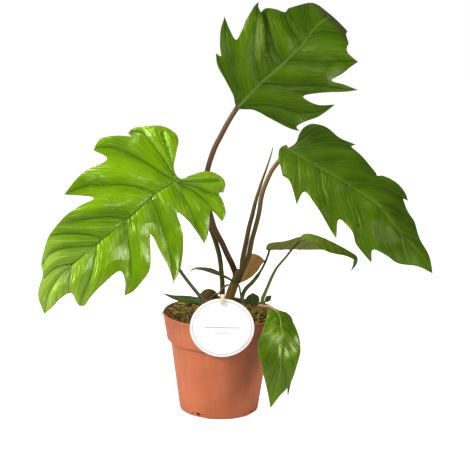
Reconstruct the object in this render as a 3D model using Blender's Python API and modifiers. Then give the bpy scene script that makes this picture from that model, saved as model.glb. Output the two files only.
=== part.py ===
"""Potted Philodendron mayoi: a young climbing aroid with lobed, pointed leaves, growing
in a 12 cm terracotta-coloured nursery pot, with a round white card on a wooden pick.

Run with: blender --background --python part.py
Metres, +Z up, the pot stands on z = 0 with its axis on the origin, and the side with
the card looks along -Y. Lengths written with MM are millimetres.
"""
import math

import bmesh
import bpy
import numpy as np
from mathutils import Vector, noise
from mathutils.geometry import delaunay_2d_cdt

MM = 0.001

# Clearances
GAP = 0.3 * MM            # air between two pieces that touch on the real plant

# Pot, a thin moulded nursery pot with a deep collar
RIM_RADIUS = 60 * MM
POT_HEIGHT = 104 * MM
COLLAR_FOOT_RADIUS = 55.2 * MM
COLLAR_FOOT = 76 * MM
WALL_TOP_RADIUS = 51.3 * MM
BASE_RADIUS = 41.3 * MM
WALL = 1.5 * MM
RIM_WALL = 2 * MM
FLOOR = 3 * MM
FLOOR_SLOPE = (4.2 * MM, 6 * MM)      # how far in and how far down the wall runs to the floor
NECK = 4 * MM             # height of the step under the collar
LIP = 1 * MM              # rounding of the rim
CORNER = 0.5 * MM         # rounding of the collar's foot
FOOT_ROUND = 1.2 * MM     # rounding of the foot
POT_STEPS = 48
FOOT_NOTCHES = 4
FOOT_NOTCH_AT = math.radians(-31)     # of the first one, from the front towards +X
FOOT_NOTCH_WIDTH = 16 * MM
FOOT_NOTCH_HEIGHT = 4.5 * MM
FOOT_NOTCH_DEPTH = 1.6 * MM
DRAIN_RADIUS = 2.2 * MM
DRAIN_LENGTH = 16 * MM    # of its bore, through wall and floor
DRAIN_HEIGHT = 3.45 * MM
DRAIN_SIDES = 12

# Soil
SOIL_EDGE = 101 * MM      # height where it meets the wall
SOIL_MOUND = 9 * MM       # how far it rises towards the middle and the stem
MIDDLE_SHARE = 0.6        # of that rise, in the middle, the rest round the stem
MOUND_REACH = 26 * MM     # how wide the rise round the stem is
SOIL_BUMP = 1.4 * MM
BUMP_SIZE = 7 * MM
SOIL_RINGS = 9
STEM_FOOT = (9, 24)       # mm, where the stem comes out of the soil

# Card and pick
CARD_RADIUS = 32 * MM
CARD_THICK = 0.6 * MM
CARD_SIDES = 72
CARD_HEIGHT = 103.6 * MM  # of its centre
CARD_X = 1.8 * MM
PICK_WIDTH = 4 * MM
PICK_WALL = 1.3 * MM
PICK_OVER = 5.4 * MM      # how far its lip reaches down over the card
PICK_ABOVE = 4.4 * MM     # how far its head stands above the card
PICK_BEND = 7 * MM        # below the card's top, where the shank leaves the card
PICK_TAPER = 0.7 * MM     # half its thickness at its foot
PICK_FOOT = (-47.5 * MM, 92 * MM)     # (y, z)
HEAD_ROUND = 1.2 * MM     # how far below its top the head starts to round
HEAD_CORNER = 0.3 * MM

# Blades
EDGE_THICK = 0.8 * MM
RIB_THICK = 2.0 * MM
SMALL_RIB_THICK = 1.2 * MM
RIB_WIDTH = 4.0           # mm, how far from the midrib the blade thins to its edge
SEAT_EXTRA = 0.4 * MM     # more room under a blade that is folded along its midrib
RIB_ROUND = 8.0           # mm, how softly the two halves fold at the midrib
RIB_AHEAD = 4.0           # mm either way, over which the midrib's direction is taken
WAVE_REACH = 60.0         # mm from the midrib, where the waves have their full height
MOST_WAVE = 1.2           # the share of that reach past which they grow no more
SPACING = 8.0             # mm between the points of a large blade
EDGE_SPACING = 0.8        # of that, along the edge
EDGE_CLEAR = 0.45         # of that, between the edge and the points inside
PAPER_EDGE = 0.8 * MM     # the dry leaf and the sheath are thin all over
PAPER_RIB = 1.0 * MM
PAPER_SPACING = 4.0       # mm

# Stalks, mm between the rings of points along them
STALK_STEP = 6.0
SMALL_STEP = 5.0
DRY_STEP = 4.0


def remove_everything():
    for obj in list(bpy.data.objects):
        bpy.data.objects.remove(obj, do_unlink=True)


def collection(name):
    made = bpy.data.collections.new(name)
    bpy.context.scene.collection.children.link(made)
    return made


remove_everything()
PLANT = collection("potted_philodendron_mayoi")
CUTTERS = collection("cutters")
CUTTERS.hide_render = True


def material(name, colour, roughness, metallic=0.0):
    made = bpy.data.materials.new(name)
    made.use_nodes = True
    shader = made.node_tree.nodes["Principled BSDF"]
    shader.inputs["Base Color"].default_value = (*colour, 1.0)
    shader.inputs["Roughness"].default_value = roughness
    shader.inputs["Metallic"].default_value = metallic
    return made


def settle(obj, home):
    """Puts an object in one collection only. A cutter is kept out of renders."""
    for other in list(obj.users_collection):
        other.objects.unlink(obj)
    home.objects.link(obj)
    if home is CUTTERS:
        obj.hide_render = True
        obj.display_type = "WIRE"
    return obj


def place(name, mesh, look, into=None):
    """A mesh as an object of its own, in the plant's collection unless another is given."""
    if look:
        mesh.materials.clear()
        mesh.materials.append(look)
    return settle(bpy.data.objects.new(name, mesh), into or PLANT)


def made_mesh(obj, weld=1e-6):
    """The object as a plain mesh object: its modifiers or its curve baked, and its caps welded."""
    bpy.context.view_layer.update()
    graph = bpy.context.evaluated_depsgraph_get()
    mesh = bpy.data.meshes.new_from_object(obj.evaluated_get(graph))
    bm = bmesh.new()
    bm.from_mesh(mesh)
    bmesh.ops.transform(bm, matrix=obj.matrix_world, verts=bm.verts)
    bmesh.ops.remove_doubles(bm, verts=bm.verts, dist=weld)
    bm.to_mesh(mesh)
    bm.free()
    name, home = obj.name, obj.users_collection[0]
    look = obj.data.materials[0] if obj.data.materials else None
    bpy.data.objects.remove(obj, do_unlink=True)
    mesh.name = name
    return place(name, mesh, look, home)


def cut(obj, cutter):
    """Takes the cutter out of the object, for good."""
    modifier = obj.modifiers.new("cut", "BOOLEAN")
    modifier.operation = "DIFFERENCE"
    modifier.solver = "EXACT"
    modifier.object = cutter
    return made_mesh(obj)


def smooth_curve(points, steps=12):
    """Points along a Catmull-Rom curve through the given ones."""
    p = np.asarray(points, float)
    q = np.vstack([2 * p[0] - p[1], p, 2 * p[-1] - p[-2]])
    out = []
    for i in range(1, len(q) - 2):
        a, b, c, d = q[i - 1 : i + 3]
        slope = c - a
        bend = 2 * a - 5 * b + 4 * c - d
        twist = 3 * b - a - 3 * c + d
        for t in np.arange(steps) / steps:
            out.append(0.5 * (2 * b + slope * t + bend * t**2 + twist * t**3))
    out.append(p[-1])
    return np.array(out)


def evenly(points, step):
    """The same line with a point about every step."""
    points = np.asarray(points, float)
    run = np.concatenate([[0], np.cumsum(np.linalg.norm(np.diff(points, axis=0), axis=1))])
    count = max(3, int(round(run[-1] / step)) + 1)
    where = np.linspace(0, run[-1], count)
    columns = [np.interp(where, run, column) for column in points.T]
    return np.stack(columns, axis=1)


def tube(name, points, look, grow=0.0, step=STALK_STEP, into=None):
    """A stalk through points of (x, y, z, radius) in millimetres, as a mesh with closed ends."""
    line = evenly(smooth_curve(points), step)
    data = bpy.data.curves.new(name, "CURVE")
    data.dimensions = "3D"
    data.bevel_depth = MM
    data.bevel_resolution = 2
    data.use_fill_caps = True
    spline = data.splines.new("POLY")
    spline.points.add(len(line) - 1)
    for point, (x, y, z, radius) in zip(spline.points, line):
        point.co = (x * MM, y * MM, z * MM, 1.0)
        point.radius = radius + grow / MM
    if look:
        data.materials.append(look)
    return made_mesh(settle(bpy.data.objects.new(name, data), into or PLANT))


# The blades
def tip(u, v):
    """A pointed end of a lobe. The other points of an outline lie on a smooth line between tips."""
    return (u, v, True)


class Blade:
    """A leaf blade on a curved midrib.

    u runs in millimetres along the midrib from the petiole, v across it. The upper side looks
    along face_base at the petiole and along face_tip at the end. fold is how far each half rises
    for each millimetre from the midrib, cup bends both halves, and wave is the height of the
    waves at the edge.
    """

    def __init__(self, rib, face_base, face_tip, outline, fold=(0.0, 0.0), cup=0.0, turn=1.0,
                 wave=0.0, wave_length=46.0, wave_start=0.0):
        self.line = smooth_curve(rib, steps=24)
        steps = np.linalg.norm(np.diff(self.line, axis=0), axis=1)
        self.run = np.concatenate([[0], np.cumsum(steps)])
        self.length = self.run[-1]
        self.face_base = np.array(face_base, float) / np.linalg.norm(face_base)
        self.face_tip = np.array(face_tip, float) / np.linalg.norm(face_tip)
        self.outline = [point if len(point) == 3 else (*point, False) for point in outline]
        self.fold, self.cup, self.turn = fold, cup, turn
        self.wave, self.wave_length, self.wave_start = wave, wave_length, wave_start

    def on_rib(self, u):
        return np.array([np.interp(u, self.run, self.line[:, k]) for k in range(3)])

    def frame(self, u):
        """The midrib's point, its direction, the way across and the way up, at u."""
        on = min(max(u, 0.0), self.length)
        ahead = self.on_rib(min(on + RIB_AHEAD, self.length)) - self.on_rib(max(on - RIB_AHEAD, 0.0))
        along = ahead / np.linalg.norm(ahead)
        share = (on / self.length) ** self.turn
        face = (1 - share) * self.face_base + share * self.face_tip
        across = np.cross(along, face)
        across /= np.linalg.norm(across)
        return self.on_rib(on) + along * (u - on), along, across, np.cross(across, along)

    def height(self, u, v):
        half = self.fold[0] if v < 0 else self.fold[1]
        folded = half * (math.hypot(v, RIB_ROUND) - RIB_ROUND)
        reach = min(abs(v) / WAVE_REACH, MOST_WAVE)
        ripple = math.sin(math.tau * (u - self.wave_start) / self.wave_length)
        return folded + self.cup * v * v + self.wave * reach**2 * ripple

    def point(self, u, v, below=0.0):
        """Metres: the upper side at (u, v), or so many millimetres below it."""
        middle, _, across, up = self.frame(u)
        return Vector((middle + across * v + up * (self.height(u, v) - below)) * MM)

    def up(self, u):
        return Vector(self.frame(u)[3])

    def edge(self, step):
        """The outline as a closed line of (u, v), a point about every step, sharp at the tips."""
        points = self.outline
        first = next(i for i, point in enumerate(points) if point[2])
        points = points[first:] + points[: first + 1]
        line, stretch = [], []
        for point in points:
            stretch.append(point[:2])
            if point[2] and len(stretch) > 1:
                dense = smooth_curve(stretch, steps=16)
                line.extend(evenly(dense, step)[:-1])
                stretch = [point[:2]]
        return np.array(line)


def inside(points, polygon):
    """Which of the points lie in the polygon."""
    x, y = points[:, 0][:, None], points[:, 1][:, None]
    ax, ay = polygon[:, 0], polygon[:, 1]
    bx, by = np.roll(ax, -1), np.roll(ay, -1)
    crosses = (ay > y) != (by > y)
    with np.errstate(divide="ignore", invalid="ignore"):
        at = (bx - ax) * (y - ay) / (by - ay) + ax
    return (crosses & (x < at)).sum(axis=1) % 2 == 1


def blade_points(edge, spacing):
    """Points inside the outline on a staggered grid, one row of them on the midrib."""
    row = spacing * math.sqrt(3) / 2
    low, high = edge.min(axis=0), edge.max(axis=0)
    grid = []
    for j in range(math.floor(low[1] / row), math.ceil(high[1] / row) + 1):
        shift = spacing / 2 if j % 2 else 0.0
        for i in range(math.floor(low[0] / spacing) - 1, math.ceil(high[0] / spacing) + 1):
            grid.append((i * spacing + shift, j * row))
    grid = np.array(grid)
    grid = grid[inside(grid, edge)]
    ends = np.roll(edge, -1, axis=0) - edge
    length = (ends**2).sum(axis=1)
    keep = []
    for point in grid:
        share = np.clip(((point - edge) * ends).sum(axis=1) / length, 0, 1)
        nearest = np.linalg.norm(edge + ends * share[:, None] - point, axis=1).min()
        keep.append(nearest > spacing * EDGE_CLEAR)
    return grid[np.array(keep)]


def blade_object(name, blade, look, spacing=SPACING, edge_thick=EDGE_THICK, rib_thick=RIB_THICK):
    """The blade as a closed solid: a triangulated outline, bent to shape and thickened downwards."""
    edge = blade.edge(spacing * EDGE_SPACING)
    points = np.vstack([edge, blade_points(edge, spacing)])
    flat = [Vector(point) for point in points]
    ring = list(range(len(edge)))
    found = delaunay_2d_cdt(flat, [], [ring], 1, 1e-6)
    bm = bmesh.new()
    for u, v in found[0]:
        bm.verts.new(blade.point(u, v))
    bm.verts.ensure_lookup_table()
    for face in found[2]:
        bm.faces.new([bm.verts[i] for i in face])
    bm.normal_update()
    facing = sum(face.normal.dot(blade.up(0)) * face.calc_area() for face in bm.faces)
    if facing < 0:
        bmesh.ops.reverse_faces(bm, faces=bm.faces)
    mesh = bpy.data.meshes.new(name)
    bm.to_mesh(mesh)
    bm.free()
    obj = place(name, mesh, look)
    group = obj.vertex_groups.new(name="thickness")
    thin = edge_thick / rib_thick
    for index, (u, v) in enumerate(found[0]):
        taper = max(0.0, 1.0 - max(u, 0.0) / blade.length)
        weight = thin + (1 - thin) * taper * math.exp(-((v / RIB_WIDTH) ** 2))
        group.add([index], weight, "REPLACE")
    solid = obj.modifiers.new("thickness", "SOLIDIFY")
    solid.thickness = rib_thick
    solid.offset = -1.0
    solid.vertex_group = "thickness"
    solid.thickness_vertex_group = 0.0
    return made_mesh(obj)


def trim_to_blade(stalk, blade, rib_thick=RIB_THICK):
    """Cuts a stalk's upper end flat, just clear of the underside of the blade that it carries."""
    normal = blade.up(0.0)
    clear = GAP + SEAT_EXTRA * abs(min(blade.fold))
    seat = blade.point(0.0, 0.0, below=rib_thick / MM) - normal * clear
    bm = bmesh.new()
    bm.from_mesh(stalk.data)
    made = bmesh.ops.bisect_plane(
        bm,
        geom=bm.verts[:] + bm.edges[:] + bm.faces[:],
        dist=1e-7,
        plane_co=seat,
        plane_no=normal,
        clear_outer=True,
    )
    rim = [edge for edge in made["geom_cut"] if isinstance(edge, bmesh.types.BMEdge)]
    bmesh.ops.contextual_create(bm, geom=rim)
    bm.to_mesh(stalk.data)
    bm.free()
    return stalk


# Colours
POT_LOOK = material("terracotta_plastic", (0.58, 0.17, 0.08), 0.5)
SOIL_LOOK = material("peat_soil", (0.06, 0.035, 0.015), 0.95)
BRIGHT_LEAF = material("bright_leaf", (0.16, 0.36, 0.02), 0.35)
MID_LEAF = material("mid_leaf", (0.09, 0.25, 0.02), 0.35)
DARK_LEAF = material("dark_leaf", (0.05, 0.17, 0.02), 0.35)
UNDER_LEAF = material("olive_leaf", (0.14, 0.17, 0.04), 0.45)
GREEN_STALK = material("green_stalk", (0.08, 0.10, 0.02), 0.45)
BROWN_STALK = material("brown_stalk", (0.10, 0.055, 0.03), 0.45)
PINK_STALK = material("pink_stalk", (0.25, 0.12, 0.06), 0.5)
DRY_LOOK = material("dry_leaf", (0.22, 0.12, 0.04), 0.7)
DARK_DRY = material("dark_dry_leaf", (0.05, 0.03, 0.015), 0.8)
CARD_LOOK = material("white_card", (0.85, 0.85, 0.83), 0.6)
WOOD_LOOK = material("pale_wood", (0.72, 0.60, 0.38), 0.6)

# The three large leaves. Midribs are (x, y, z) in mm, outlines (u, v) in mm
LEFT_BLADE = Blade(
    rib=[(-48, -30, 245), (-67, -41, 234), (-92, -58, 212), (-121, -77, 190), (-146, -93, 170),
         (-156, -101, 160), (-163, -107, 148), (-166, -114, 131)],
    face_base=(0.33, -0.75, 0.55), face_tip=(0.45, -0.8, 0.3), cup=-0.0012, wave=2.0, wave_start=12,
    outline=[
        (-7, 0), (-8, 12), (-20, 25), (-29, 34), (-31, 43), (-25, 55), (-12, 64), (0, 71), tip(10, 68),
        (10, 63), (19, 71), (27, 77), tip(36, 73),
        (34, 57), (53, 62), (75, 62), tip(95, 57),
        (75, 37), (90, 39), (110, 40), (133, 35), (147, 26), tip(154, 20),
        (160, 13), (176, 9), tip(190, 0),
        (180, -8), (170, -13), (156, -20), tip(171, -34),
        (155, -37), (128, -34), (102, -34), (103, -45), tip(113, -56),
        (103, -58), (89, -56), (75, -50), (56, -26), (59, -43), (63, -64), tip(68, -77),
        (56, -71), (41, -58), (27, -43), (17, -28), (10, -41), (8, -55), tip(7, -68),
        (-2, -59), (-14, -44), (-17, -50), tip(-18, -59),
        (-26, -54), (-31, -42), (-32, -33), tip(-37, -35),
        (-44, -28), (-44, -19), (-35, -8), (-19, -3),
    ],
)
TOP_BLADE = Blade(
    rib=[(13, 0, 316), (34, 5, 339), (58, 11, 360), (75, 17, 377), (87, 25, 392), (97, 35, 402),
         (106, 47, 406.5), (114, 61, 404), (120, 76, 394), (124, 87, 379)],
    face_base=(0.2, -0.9, 0.3), face_tip=(0.1, -0.1, 0.95), fold=(-0.05, -0.1), cup=-0.0006, turn=3.0,
    wave=2.0, wave_start=20,
    outline=[
        (0, 0), (10, 14), (15, 32), (22, 53), tip(30, 63),
        (31, 57), (46, 59), (60, 64), tip(75, 66),
        (64, 54), (59, 38), (70, 45), (82, 57), tip(96, 74),
        (91, 57), (87, 46), (98, 51), (110, 53), tip(122, 55.5),
        (121, 42), (127, 37), (136, 35), (144, 30), (151, 23), (161, 18), (178, 11), tip(198, 0),
        (186, -9), (174, -15), (160, -20.5), (146, -24), (136, -26), (128, -28),
        (123, -30), (119, -32), (115, -34), (110, -34), (107, -44), (103, -52), (95, -53), (98, -57),
        tip(105, -61.5),
        (92, -62), (69, -58), (53, -52), (44, -49), (46, -61), tip(51, -75),
        (40, -67), (31, -55), (26, -47), tip(25, -53),
        (18, -43), (13, -28), (7, -12),
    ],
)
RIGHT_BLADE = Blade(
    rib=[(67, 0, 275), (95, -10, 260), (124, -20, 245), (157, -33, 224), (168, -40, 210),
         (190, -52, 187), (208, -62, 164)],
    face_base=(0.2, -0.85, 0.4), face_tip=(0.3, -0.85, 0.3), fold=(-0.58, -0.1), cup=-0.001, wave=2.0,
    outline=[
        (-2, -1.5), (-6, -3), (-9, 5), (-4, 15), (2, 20), tip(9, 27),
        (18, 28), (29, 37), tip(36, 44),
        (36, 29), (53, 36), (77, 46), tip(94, 53),
        (83, 35), (105, 38), (127, 42), tip(147, 43),
        (138, 33), (151, 27), (165, 23), (179, 9), tip(193, 0),
        (176, -10), (157, -14), (140, -25), (115, -32), tip(117, -38),
        (107, -42), (90, -39), (85, -33), tip(82, -36),
        (62, -44), (47, -49), tip(49, -55),
        (30, -54), (12, -56), (-2, -51), (-6, -40), (-4, -25), (0, -12),
    ],
)

# The small leaves round the foot
SIDE_UPPER_BLADE = Blade(
    rib=[(81, -2, 182.6), (91, -4, 184.6), (102, -6, 183.2), (113, -7, 179), (123, -8, 174.8),
         (132, -9, 170.2), (138, -9, 165.5), (137.3, -9, 158.6), (134, -9, 152)],
    face_base=(0.0, 0.0, 1.0), face_tip=(0.7, -0.7, 0.2), fold=(0.5, -0.75), turn=2.0,
    outline=[
        (-1, 0), (2, 2), (9, 3), (15, 7), (22, 11), (31, 11.5), (41, 9), (52, 5), (60, 3.7), (68, 2.8),
        tip(78, 0), (68, -2.3), (60, -3), (50, -3.5), (39, -5), (26, -7.2), (15, -9.2), (7, -12), (1.5, -12.3),
        (-1, -9), (-1.5, -4),
    ],
)
SIDE_LOWER_BLADE = Blade(
    rib=[(50.2, 24, 166.6), (61.5, 25, 166.8), (74.5, 27, 166.9), (89, 29, 166), (107.5, 31, 165.4)],
    face_base=(0.0, 0.0, 1.0), face_tip=(0.0, 0.0, 1.0), fold=(0.4, 2.2),
    outline=[
        (-3, 0), (-4, 4), (-3.5, 7), (0, 8.7), (8, 9.5), (17, 10.5), (30, 13), (44, 12), (53, 7), tip(58, 0),
        (43, -8), (28, -11), (12, -12), (1, -9), (-3.5, -4),
    ],
)
FRONT_BLADE = Blade(
    rib=[(57.7, -40, 115.1), (59.7, -48, 112.3), (61.1, -56, 104), (61.4, -62, 95), (60.9, -69, 79.5),
         (60.6, -72, 66), (58.2, -72, 51), (51.6, -68, 21.5)],
    face_base=(0.3, -0.6, 0.8), face_tip=(0.2, -0.9, 0.0), fold=(-0.05, 0.0), cup=-0.004,
    outline=[
        (0, 0), (-6, 2), (-8, 5), (-4, 9), (6, 13), (15, 16.5), (27, 20.5), (39, 23.5), (48, 23),
        (60, 19), (70, 16.5), (84, 10), tip(106, 0),
        (92, -5.5), (85, -10), (77, -13.5), (62, -17), (52, -20), (42, -21.5), (30, -20),
        (20, -17), (11, -13.5), (2, -10), (-5, -7), (-5, -3),
    ],
)
BEHIND_BLADE = Blade(
    rib=[(63.6, -30, 112), (66, -37, 108), (67.4, -45, 97), (68.6, -52, 84), (69.8, -57, 68),
         (70.4, -59, 50), (69.7, -59, 32)],
    face_base=(0.4, -0.7, 0.6), face_tip=(0.4, -0.9, 0.0), cup=-0.005,
    outline=[
        (0, 0), (-3, 3), (2, 8), (14, 10), (34, 10), (52, 7), (68, 3.5), (79, 1.6), tip(91, 0),
        (79, -1.6), (68, -3.5), (52, -7), (34, -10), (14, -9), (2, -7), (-3, -3),
    ],
)
STRAP_BLADE = Blade(
    rib=[(17, 5, 133.6), (11.1, 3, 137.6), (3.9, 1, 141.8), (-1.9, -1, 145.2), (-11.9, -3, 149.1),
         (-21.8, -5, 151.2), (-28.7, -6, 150.8), (-33.9, -7, 146.1)],
    face_base=(-0.3, -0.25, 0.9), face_tip=(-0.6, -0.25, 0.7), fold=(-0.3, 0.2),
    outline=[
        (-1, 0), (3, 2), (14, 3), (30, 5), (44, 3), tip(58, 0), (44, -3), (30, -5), (14, -3), (3, -2),
    ],
)
LOW_BLADE = Blade(
    rib=[(-17.7, 20, 110), (-28.1, 16, 111.6), (-38.5, 11, 113.7), (-49.9, 6, 117.2), (-61.1, 1, 123)],
    face_base=(-0.1, -0.45, 0.9), face_tip=(-0.1, -0.45, 0.9), fold=(0.1, 0.1), cup=-0.004,
    outline=[
        (-1, 0), (-2, 3), (4, 5), (16, 7), (30, 5), tip(48, 0), (30, -4), (16, -6), (4, -5), (-2, -3),
    ],
)
BACK_BLADE = Blade(
    rib=[(-63.5, -3, 187), (-71, -5, 193), (-80, -8, 195), (-89, -10, 192), (-96, -12, 186)],
    face_base=(-0.2, -0.4, 0.9), face_tip=(-0.6, -0.4, 0.6), cup=-0.005,
    outline=[
        (0, 0), (-4, 4), (0, 9), (9, 12), (19, 11), (29, 6), tip(39, 0),
        (29, -6), (19, -11), (9, -12), (0, -9), (-4, -4),
    ],
)
ROUND_BLADE = Blade(
    rib=[(33.5, 9, 109.2), (33.6, 9, 113), (33.5, 8, 118), (33.3, 6.5, 122.3)],
    face_base=(0.0, -0.95, 0.2), face_tip=(0.0, -0.8, 0.5), cup=-0.008,
    outline=[
        (0, 0), (0, 4), (4, 7), (9, 6), tip(13.5, 0), (9, -6), (4, -7), (0, -4),
    ],
)
YOUNG_BLADE = Blade(
    rib=[(46.4, 15, 110.8), (48.6, 14, 113.8), (50.9, 13, 116.3), (53.3, 12, 119)],
    face_base=(-0.3, -0.9, 0.2), face_tip=(-0.3, -0.9, 0.2),
    outline=[(0, 0), (2, 2), (6, 3), tip(11, 0), (6, -3), (2, -2)],
)
SHEATH_BLADE = Blade(
    rib=[(21, 24.5, 131.8), (28.3, 27, 139.5), (34.5, 28, 146.4), (40.2, 28, 150.3), (46.8, 27, 152.3)],
    face_base=(0.1, -1.0, 0.1), face_tip=(0.1, -1.0, 0.3), fold=(-0.1, -0.15),
    outline=[
        (-4, 0), (2, 4), (12, 6.5), (22, 6), tip(33.5, 0), (29, -7), tip(25, -12), (12, -9), (2, -4),
    ],
)
DRY_BLADE = Blade(
    rib=[(-3, 34, 109.6), (-9, 34, 113.6), (-15, 34, 114.6), (-21, 33, 111.6), (-25, 32, 108.6)],
    face_base=(0.0, -0.6, 0.8), face_tip=(-0.4, -0.6, 0.6), fold=(-0.5, -0.4),
    outline=[(0, 0), (2, 4), (9, 6), (17, 5), tip(26, 0), (17, -6), (9, -7), (2, -4)],
)

# Stalks: (x, y, z, radius) in mm, from the lower end up
STEM = [(9, 24, 98, 5.2), (9.4, 23, 112, 5.2), (12.6, 22, 124, 5.0), (17, 21, 136, 4.6),
        (19.8, 20.5, 143, 4.2)]
LEFT_STALK = [(1.6, 32, 98, 2.9), (1.7, 31.5, 112, 2.9), (1.6, 31, 121, 2.8), (1, 31, 130, 2.7),
              (0, 30.5, 139, 2.7), (-1, 29.5, 149, 2.6), (-3.1, 28, 160, 2.6), (-6.2, 26, 171, 2.6),
              (-9.5, 23, 181, 2.6), (-14, 18.5, 193, 2.6), (-20, 12, 204, 2.6), (-26, 3, 214, 2.6),
              (-32, -7, 223, 2.6), (-38.5, -17, 232, 2.6), (-45, -26, 240.5, 2.6),
              (-50, -31, 246, 2.6)]
TOP_STALK = [(15, 22.5, 132, 3.2), (15, 25.5, 138.5, 3.2), (13.4, 26, 143, 3.2),
             (10.2, 24, 151, 3.2), (5.9, 21, 160, 3.1), (0.3, 16.5, 173, 3.0), (-7.3, 12, 188, 3.0),
             (-11, 10, 199.5, 3.0), (-13.4, 9.5, 208, 3.0), (-17.6, 9, 230, 2.9),
             (-16, 8, 251, 2.8), (-10, 6, 272, 2.8), (-3, 5, 287, 2.7), (4, 3.5, 301, 2.6),
             (11, 2.5, 313, 2.5), (15, 1, 319, 2.5)]
RIGHT_STALK = [(17.5, 20, 131, 3.2), (20, 16.5, 139, 3.2), (23, 14.5, 147.5, 3.0),
               (28.1, 13, 160.3, 2.8), (31.2, 12, 177.9, 2.6), (34.5, 11.5, 191.4, 2.5),
               (36.9, 11, 202.1, 2.5), (38.3, 10.5, 210.1, 2.5), (39.4, 10, 220.7, 2.5),
               (41.6, 9, 231.4, 2.5), (45.9, 8, 243.3, 2.4), (50.4, 7, 253.2, 2.4),
               (56.5, 5.5, 262, 2.4), (65, 3, 272, 2.4), (69, 1, 276, 2.4)]
SPIKE = [(20.4, 23.4, 141.5, 1.7), (21.8, 24.2, 153, 2.5), (23.5, 23.2, 162, 2.7), (25.9, 21, 176, 2.6),
         (28.1, 19.5, 190, 2.4), (31.1, 18.5, 203, 2.3), (34, 17.5, 217, 2.0), (37.4, 17, 230, 1.7),
         (40.5, 16.5, 240.5, 1.4), (43.7, 16, 250, 1.1), (46.7, 15, 260, 0.9),
         (49, 14.5, 268.3, 0.7), (50.5, 14, 275, 0.4)]
SIDE_UPPER_STALK = [(44.3, 25, 99, 2.2), (44.3, 24, 111.6, 2.1), (45.7, 23, 116, 2.0),
                    (48.5, 20, 124.2, 1.8), (51.1, 17, 132.3, 1.7), (53.9, 14, 140.3, 1.6),
                    (57.4, 11, 148.3, 1.4), (60.6, 9.5, 153.3, 1.3), (66.7, 7, 161.5, 1.2),
                    (72.8, 4, 170.9, 1.2), (78.1, 1, 178, 1.1), (82.4, -2, 185, 1.1)]
SIDE_LOWER_STALK = [(21.5, 25.5, 98, 2.2), (22.3, 25, 110, 2.2), (23.6, 24, 116.7, 2.2),
                    (26.5, 22, 123.3, 2.2), (33.5, 19, 131.6, 2.1), (38.6, 18, 139, 1.9),
                    (41, 18, 143, 1.3), (44.7, 19, 149.8, 1.2), (47.5, 20.5, 156.7, 1.2),
                    (49.6, 22, 163, 1.1), (50.6, 23.5, 168, 1.1)]
FRONT_STALK = [(39, 9, 98, 1.7), (38.8, 6, 105, 1.6), (40.2, 2, 110.2, 1.6), (44.5, -6, 112, 1.5),
               (49.5, -17, 114.6, 1.5), (53.2, -28, 116, 1.4), (57.3, -39.1, 113.9, 1.3),
               (58.3, -42, 113.3, 1.3)]
BEHIND_STALK = [(50, 4, 98, 1.5), (50.5, 2, 105, 1.4), (54, -7, 109.5, 1.3),
                (59, -18, 110.5, 1.2), (63, -28, 111.5, 1.1)]
STRAP_STALK = [(23.2, 12, 99, 1.3), (22.8, 11, 111, 1.2), (20.8, 9.3, 119.5, 1.1),
               (19.4, 7.2, 128, 1.0), (17.9, 5.6, 132, 0.9), (15.5, 4.2, 136, 0.9)]
LOW_STALK = [(-15, 27, 97, 1.6), (-15.5, 26, 103, 1.5), (-16.9, 22.6, 107, 1.4),
             (-18.6, 18.8, 111.5, 1.3)]
BACK_STALK = [(-14, 4, 99, 2.2), (-16.5, 4, 111, 2.1), (-22, 4, 119, 2.0), (-29, 4, 127.5, 1.9),
              (-36.5, 4, 137, 1.9), (-43, 3, 146.5, 1.8), (-51, 1, 160, 1.6), (-58, -1, 173.5, 1.5),
              (-65, -3.5, 189, 1.4)]
ROUND_STALK = [(32, 18, 98, 1.3), (32.3, 16.5, 104.5, 1.2), (33.5, 9, 110.4, 1.0)]
YOUNG_STALK = [(45.5, 20, 97, 1.0), (45.6, 19.3, 104, 0.9), (46, 17.5, 108.5, 0.8),
               (46.6, 14.5, 112, 0.8)]
DRY_STALK = [(-13, 17, 99, 1.1), (-12, 16, 110, 1.2), (-7, 13.5, 118, 1.0), (-2, 12, 120, 1.2),
             (1, 11, 125, 0.9), (6, 8, 130, 1.0), (8, 6, 131, 0.6)]


# Soil and pot
def turned(name, profile, steps, look):
    """A closed profile of (radius, height) turned round Z."""
    bm = bmesh.new()
    corners = [bm.verts.new((radius, 0.0, height)) for radius, height in profile]
    for one, other in zip(corners, corners[1:]):
        bm.edges.new((one, other))
    mesh = bpy.data.meshes.new(name)
    bm.to_mesh(mesh)
    bm.free()
    obj = place(name, mesh, look)
    screw = obj.modifiers.new("turn", "SCREW")
    screw.axis = "Z"
    screw.steps = steps
    screw.render_steps = steps
    screw.use_merge_vertices = True
    screw.merge_threshold = 1e-5
    return made_mesh(obj)


COLLAR_SLOPE = (RIM_RADIUS - COLLAR_FOOT_RADIUS) / (POT_HEIGHT - COLLAR_FOOT)
INNER_RIM = RIM_RADIUS - RIM_WALL
INNER_WALL_BASE = BASE_RADIUS - WALL / 2
INNER_FLOOR_RADIUS = INNER_WALL_BASE - FLOOR_SLOPE[0]
POT_INSIDE = [            # (radius, height) below the rim, from the collar down
    (COLLAR_FOOT_RADIUS - WALL, COLLAR_FOOT + NECK / 2),
    (WALL_TOP_RADIUS - WALL, COLLAR_FOOT - NECK * 3 / 4),
    (INNER_WALL_BASE, FLOOR + FLOOR_SLOPE[1]),
    (INNER_FLOOR_RADIUS, FLOOR),
    (0, FLOOR),
]


def collar_radius(height):
    """The outside of the collar at a height."""
    return COLLAR_FOOT_RADIUS + COLLAR_SLOPE * (height - COLLAR_FOOT)


def foot_point(angle, radius, height):
    """A point at an angle from the front, towards +X."""
    return Vector((radius * math.sin(angle), -radius * math.cos(angle), height))


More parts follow.
